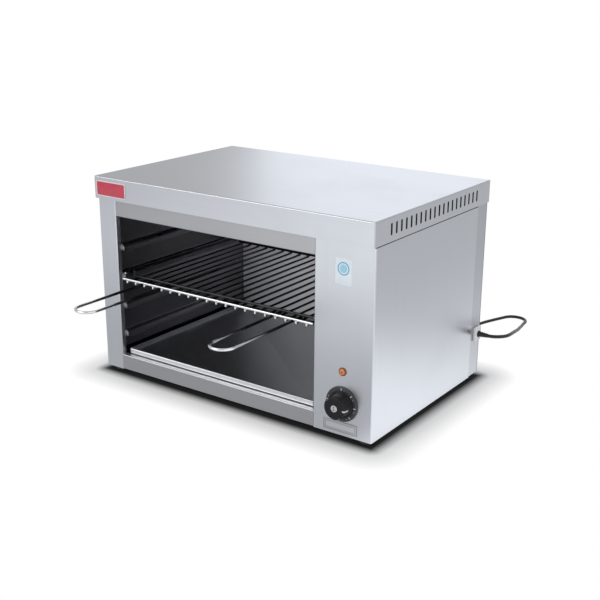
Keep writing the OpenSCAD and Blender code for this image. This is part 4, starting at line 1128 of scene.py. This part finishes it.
for side, name in ((-1, "runnersLeft"), (1, "runnersRight")):
    beads = [makeRunner(side, height) for height in runnerSet["levels"]]
    fit(joined(name, beads), "runner", "lining_steel")
print("runners made")


rackSet = {
    "rods": 20, "bend": 3, "bendSteps": 5,
    "frontRow": -188, "frontReach": 215.5,
    "rows": (-162, 152), "riser": 210.3, "reach": 213,  # rods whose ends turn up to the side rails
    "arm": 21.4, "armSteps": 24,                        # half the width of a handle's loop
    "weld": 1.5, "weldShape": (1, 1.2, 0.6), "weldShift": (1.5, 0.3), "weldSunk": 0.1,
}


def rodPiece(name, lines, diameter, sides, finish, node):
    rods = smooth(asMesh(tube(name, lines, diameter, sides)), 45)
    fit(rods, finish, "rack_chrome", node, body="rack")


def makeRack():
    low, high = boxOf("rack_long_rods")
    thin, rodLevel = high.z - low.z, (low.z + high.z) / 2
    pitch = (high.x - low.x - thin) / (rackSet["rods"] - 1)
    places = [low.x + thin / 2 + k * pitch for k in range(rackSet["rods"])]
    rodPiece("rackLongRods", [[(x, low.y, rodLevel), (x, high.y, rodLevel)] for x in places], thin, 5,
             "rack", "rack_long_rods")

    low, high = boxOf("rack_cross_rods")
    railLow, railHigh = boxOf("rack_side_rails")
    thick = railHigh.z - railLow.z
    half = thick / 2
    crossLevel, railLevel = low.z + half, (railLow.z + railHigh.z) / 2
    middle = (low.x + high.x) / 2
    reach, riser, frontRow = valuesOf(rackSet, "frontReach riser frontRow")
    lines = [[(middle - reach, frontRow, crossLevel), (middle + reach, frontRow, crossLevel)]]
    reach = rackSet["reach"]
    outline = [(-reach, railLevel), (-riser, railLevel), (-riser, crossLevel), (riser, crossLevel),
               (riser, railLevel), (reach, railLevel)]
    for row in rackSet["rows"]:
        corners = [(middle + x, row, z) for x, z in outline]
        lines.append(rounding(corners, [rackSet["bend"]] * len(corners), rackSet["bendSteps"]))
    rodPiece("rackCrossRods", lines, thick, 6, "rack", "rack_cross_rods")

    lines = [[(x, railLow.y, railLevel), (x, railHigh.y, railLevel)]
             for x in (railLow.x + half, railHigh.x - half)]
    rodPiece("rackSideRails", lines, thick, 6, "rack", "rack_side_rails")

    low, high = boxOf("rack_handles")
    level, arm, steps = (low.z + high.z) / 2, rackSet["arm"], rackSet["armSteps"]
    lines = []
    for centre in (low.x + arm + half, high.x - arm - half):
        angles = [math.pi * k / steps for k in range(steps + 1)]
        bow = [(centre - arm * math.cos(a), low.y + half + arm - arm * math.sin(a), level) for a in angles]
        lines.append([(centre - arm, high.y, level), *bow, (centre + arm, high.y, level)])
    rodPiece("rackHandleLoops", lines, thick, 6, "handles", "rack_handles")

    clearSelection()
    bpy.ops.mesh.primitive_ico_sphere_add(subdivisions=2, radius=rackSet["weld"] * mm)
    first = settle(named("weld"))
    first.scale = rackSet["weldShape"]
    settle(first)
    across, deep = rackSet["weldShift"]
    level = rodLevel + thin / 2 - rackSet["weldSunk"]
    welds = copies(first, [((x + side * across, row + side * deep, level),)
                           for row in (frontRow, *rackSet["rows"]) for x in places for side in (-1, 1)])
    fit(smooth(joined("rackWelds", welds), 60), "rack", "rack_chrome", body="rack")


makeRack()
print("rack made")


traySet = {"sheet": 0.8, "lip": 4.2, "roll": 2.8, "corner": 3, "sweep": 2.2, "edge": 0.3}


def makeTray():
    low, high = boxOf("crumb_tray")
    sheet = traySet["sheet"]
    top, front, bottom = high.z * mm, low.y * mm, (low.z + sheet) * mm
    pan = block("crumbTrayPan", low, high)
    edit(pan)
    pickEdges(pan, lambda p, q: abs((p - q).normalized().z) > 0.99)
    bevelPicked(traySet["corner"], 6)
    pickFaces(pan, lambda middle, normal: normal.z > 0.9 and middle.z > top - near)
    bpy.ops.mesh.inset(thickness=sheet * mm)
    pick(pan, "VERT", lambda vert: vert.co.z > top - near
         and 0.5 * sheet * mm < vert.co.y - front < 1.01 * sheet * mm)
    bpy.ops.transform.translate(value=(0, (traySet["lip"] - sheet) * mm, 0))
    bpy.ops.mesh.select_mode(type="FACE")
    mesh = bmesh.from_edit_mesh(pan.data)
    opening = max((face.calc_area() for face in mesh.faces if face.normal.z > 0.9))
    pick(pan, "FACE", lambda face: face.normal.z > 0.9 and face.calc_area() == opening)
    extrude(0, 0, low.z + sheet - high.z)
    pickEdges(pan, lambda p, q: abs(p.z - bottom) < near and abs(q.z - bottom) < near)
    bevelPicked(traySet["sweep"], 4)
    pickEdges(pan, lambda p, q: min(p.z, q.z) > top - near and max(p.y, q.y) < front + near)
    bevelPicked(traySet["roll"], 6)
    leaveEdit()
    eased(pan, traySet["edge"], 3, 50)
    fit(smooth(faceOut(pan)), "tray", "tray_steel", "crumb_tray", body="tray")


makeTray()
print("tray made")


hardwareSet = {
    "foot": 14, "footHeight": 8, "recess": 6.5, "recessHeight": 4,
    "head": 4, "headHeight": 2.2, "headEdge": 0.1, "firstTurn": 20, "nextTurn": 37,
    "slot": 1.0, "slotReach": 2.3, "slotDepth": 1.2,
}


def centres(low, high, radius, count):  # of equal round pieces in a row
    first, last = round(low + radius), round(high - radius)
    return [first + (last - first) * k / (count - 1) for k in range(count)]


def makeFeet():
    low, high = boxOf("feet")
    outer, top = hardwareSet["foot"], hardwareSet["footHeight"]
    recess, ceiling = hardwareSet["recess"], hardwareSet["recessHeight"]
    first = turned("foot", [
        (recess, ceiling), (recess, 0.4), (recess + 0.4, 0), (outer - 2, 0), (outer - 1.5, 0.3),
        (outer - 0.9, 1.6), (outer - 0.2, 3.6), (outer, 4.4), (outer, top - 0.6), (outer - 0.3, top),
        (0.01, top)], 48)
    feet = copies(first, [((across, deep, 0),) for across in centres(low.x, high.x, outer, 2)
                          for deep in centres(low.y, high.y, outer, 2)])
    fit(joined("rubberFeet", feet), "foot", "foot_rubber", "feet")


def makeRearScrews():
    head, height = hardwareSet["head"], hardwareSet["headHeight"]
    first = turned("screwHead", [
        (head - 0.2, 0), (head, 0.2), (head, 0.5), (head * 0.95, 1.0), (head * 0.82, 1.5), (head * 0.6, 1.9),
        (head * 0.3, 2.15), (0.01, height)], 40)
    slot, reach, depth = valuesOf(hardwareSet, "slot slotReach slotDepth")
    for wide, deep in ((reach, slot / 2), (slot / 2, reach)):
        cut(first, block("slot", (-wide, -deep, height - depth), (wide, deep, height + 1)))
    smooth(eased(first, hardwareSet["headEdge"], 2, 50), 30)
    back = boxOf("rear_panel")[1].y
    low, high = boxOf("rear_screws")
    places = [(across, back, level) for across in centres(low.x, high.x, head, 2)
              for level in centres(low.z, high.z, head, 3)]
    start, step = valuesOf(hardwareSet, "firstTurn nextTurn")
    screws = copies(first, [(place, (-90, start + step * k, 0)) for k, place in enumerate(places)])
    fit(joined("rearScrewHeads", screws), "screw", "screw_steel", "rear_screws")


makeFeet()
makeRearScrews()
print("feet and screws made")


stageSet = {
    "floorTone": 0.80, "floorSize": 60, "floorDrop": 0.0004,
    "footprint": (0.299, 0.194),  # half sizes of what stands on the floor
    "contact": (0.0, 0.025), "fade": (0.006, 0.075),  # painted contact shadow, and where the view turns white
    "room": ((0.985, 0.99, 1), 0.58),
    "mirrorTone": (0.94, 0.965, 1), "mirrorShare": 0.95,
}
zoneSet = {  # how bright the steel sees the floor, and the metres over which each zone sets in
    "floor": 0.68,
    "front": 1.0, "frontAhead": (0.5, 1.2), "frontAcross": (-1.8, -0.5),
    "right": 0.8, "rightAcross": (0.24, 0.32),
    "fadeAcross": (0.36, 0.66), "fadeBehind": (0.0, 0.35), "fadeShare": (0.35, 0.6),  # of the right zone
    "corner": 1.0, "cornerAcross": (0.35, 0.6), "cornerAhead": (0.2, 0.4),
}
lights = {  # place, aim, size, glow, and then tone, spread and whether it is mirrored
    "keyLamp": ((-1.4, -2.4, 2.1), (0, -0.1, 0.15), (2.6, 2.0), 2.0),
    "backLamp": ((-0.75, 2.9, 1.3), (0, 0, 0.3), (2.8, 2.4), 0.85, (0.87, 0.92, 1.0)),
    "sideLamp": ((2.7, -0.9, 1.7), (0.3, 0, 0.15), (3.4, 2.6), 0.6),
    "chamberLamp": ((-0.25, -0.23, 0.1), (-0.1, 0.18, 0.14), (0.08, 0.06), 5.5, (0.97, 0.98, 1.0), 62,
                    False),
}


# pale floor: white to the camera away from the object, with a painted contact shadow next to it and soft
# zones for the steel to reflect
def makeFloor():
    clearSelection()
    bpy.ops.mesh.primitive_plane_add(size=stageSet["floorSize"], location=(0, 0, -stageSet["floorDrop"]))
    floor = settle(named("floor"))
    finish = Finish("floorPaper", Roughness=0.9, Specular_IOR_Level=0.1)
    pale = stageSet["floorTone"]
    tone = finish.mix(finish.noise(3.0), (pale - 0.01,) * 3, (pale,) * 3)
    across, deep = finish.at("X"), finish.at("Y")
    halfWide, halfDeep = stageSet["footprint"]
    beside = (across.size() - halfWide).atLeast(0.0)
    before = (deep.size() - halfDeep).atLeast(0.0)
    away = (beside * beside + before * before) ** 0.5
    # painted shadow: the floor's colour turns near black next to the object's footprint
    finish.wear(Base_Color=finish.mix(away.between(*stageSet["contact"]), (0.02, 0.02, 0.02), tone))

    ahead = 0 - deep
    front = ahead.between(*zoneSet["frontAhead"]) * across.between(*zoneSet["frontAcross"])
    least, more = zoneSet["fadeShare"]
    fading = (across.between(*zoneSet["fadeAcross"]) * more + least) * deep.between(*zoneSet["fadeBehind"])
    right = across.between(*zoneSet["rightAcross"]) * (1 - fading)
    corner = across.between(*zoneSet["cornerAcross"]) * ahead.between(*zoneSet["cornerAhead"])
    glow = zoneSet["floor"] + front * zoneSet["front"] + right * zoneSet["right"]
    glow = glow * (1 - corner) + corner * zoneSet["corner"]

    white = finish.node("ShaderNodeEmission", {"Color": (1, 1, 1), "Strength": 1.0})
    zones = finish.node("ShaderNodeEmission", {"Color": stageSet["mirrorTone"], "Strength": glow})
    inMirrors = finish.mixShaders(finish.ray("Glossy") * stageSet["mirrorShare"], finish.plain, zones)
    finish.show(finish.mixShaders(finish.ray("Camera") * away.between(*stageSet["fade"]), inMirrors, white))
    floor.data.materials.append(finish.material)


def makeLight(name, place, aim, size, glow, tone=(1, 1, 1), spread=180, mirrored=True):
    light = bpy.data.lights.new(name, "AREA")
    light.shape = "RECTANGLE"
    light.size, light.size_y = size
    light.energy = glow * math.pi * size[0] * size[1]
    light.color = tone
    light.spread = math.radians(spread)
    holder = linked(name, light)
    holder.location = place
    holder.rotation_euler = (Vector(place) - Vector(aim)).to_track_quat("Z", "Y").to_euler()
    holder.visible_camera = False
    holder.visible_glossy = mirrored


def makeWorld():  # a white background to the camera, a dimmer room to everything else
    world = bpy.data.worlds.new("studio")
    tree = Tree(world, "ShaderNodeOutputWorld")
    room, white = (tree.node("ShaderNodeBackground", {"Color": tone, "Strength": strength})
                   for tone, strength in (stageSet["room"], ((1, 1, 1), 1.0)))
    tree.show(tree.mixShaders(tree.ray("Camera"), room, white))
    bpy.context.scene.world = world


makeFloor()
for name, settings in lights.items():
    makeLight(name, *settings)
makeWorld()
bpy.context.scene.view_settings.view_transform = "Standard"
print("stage set")
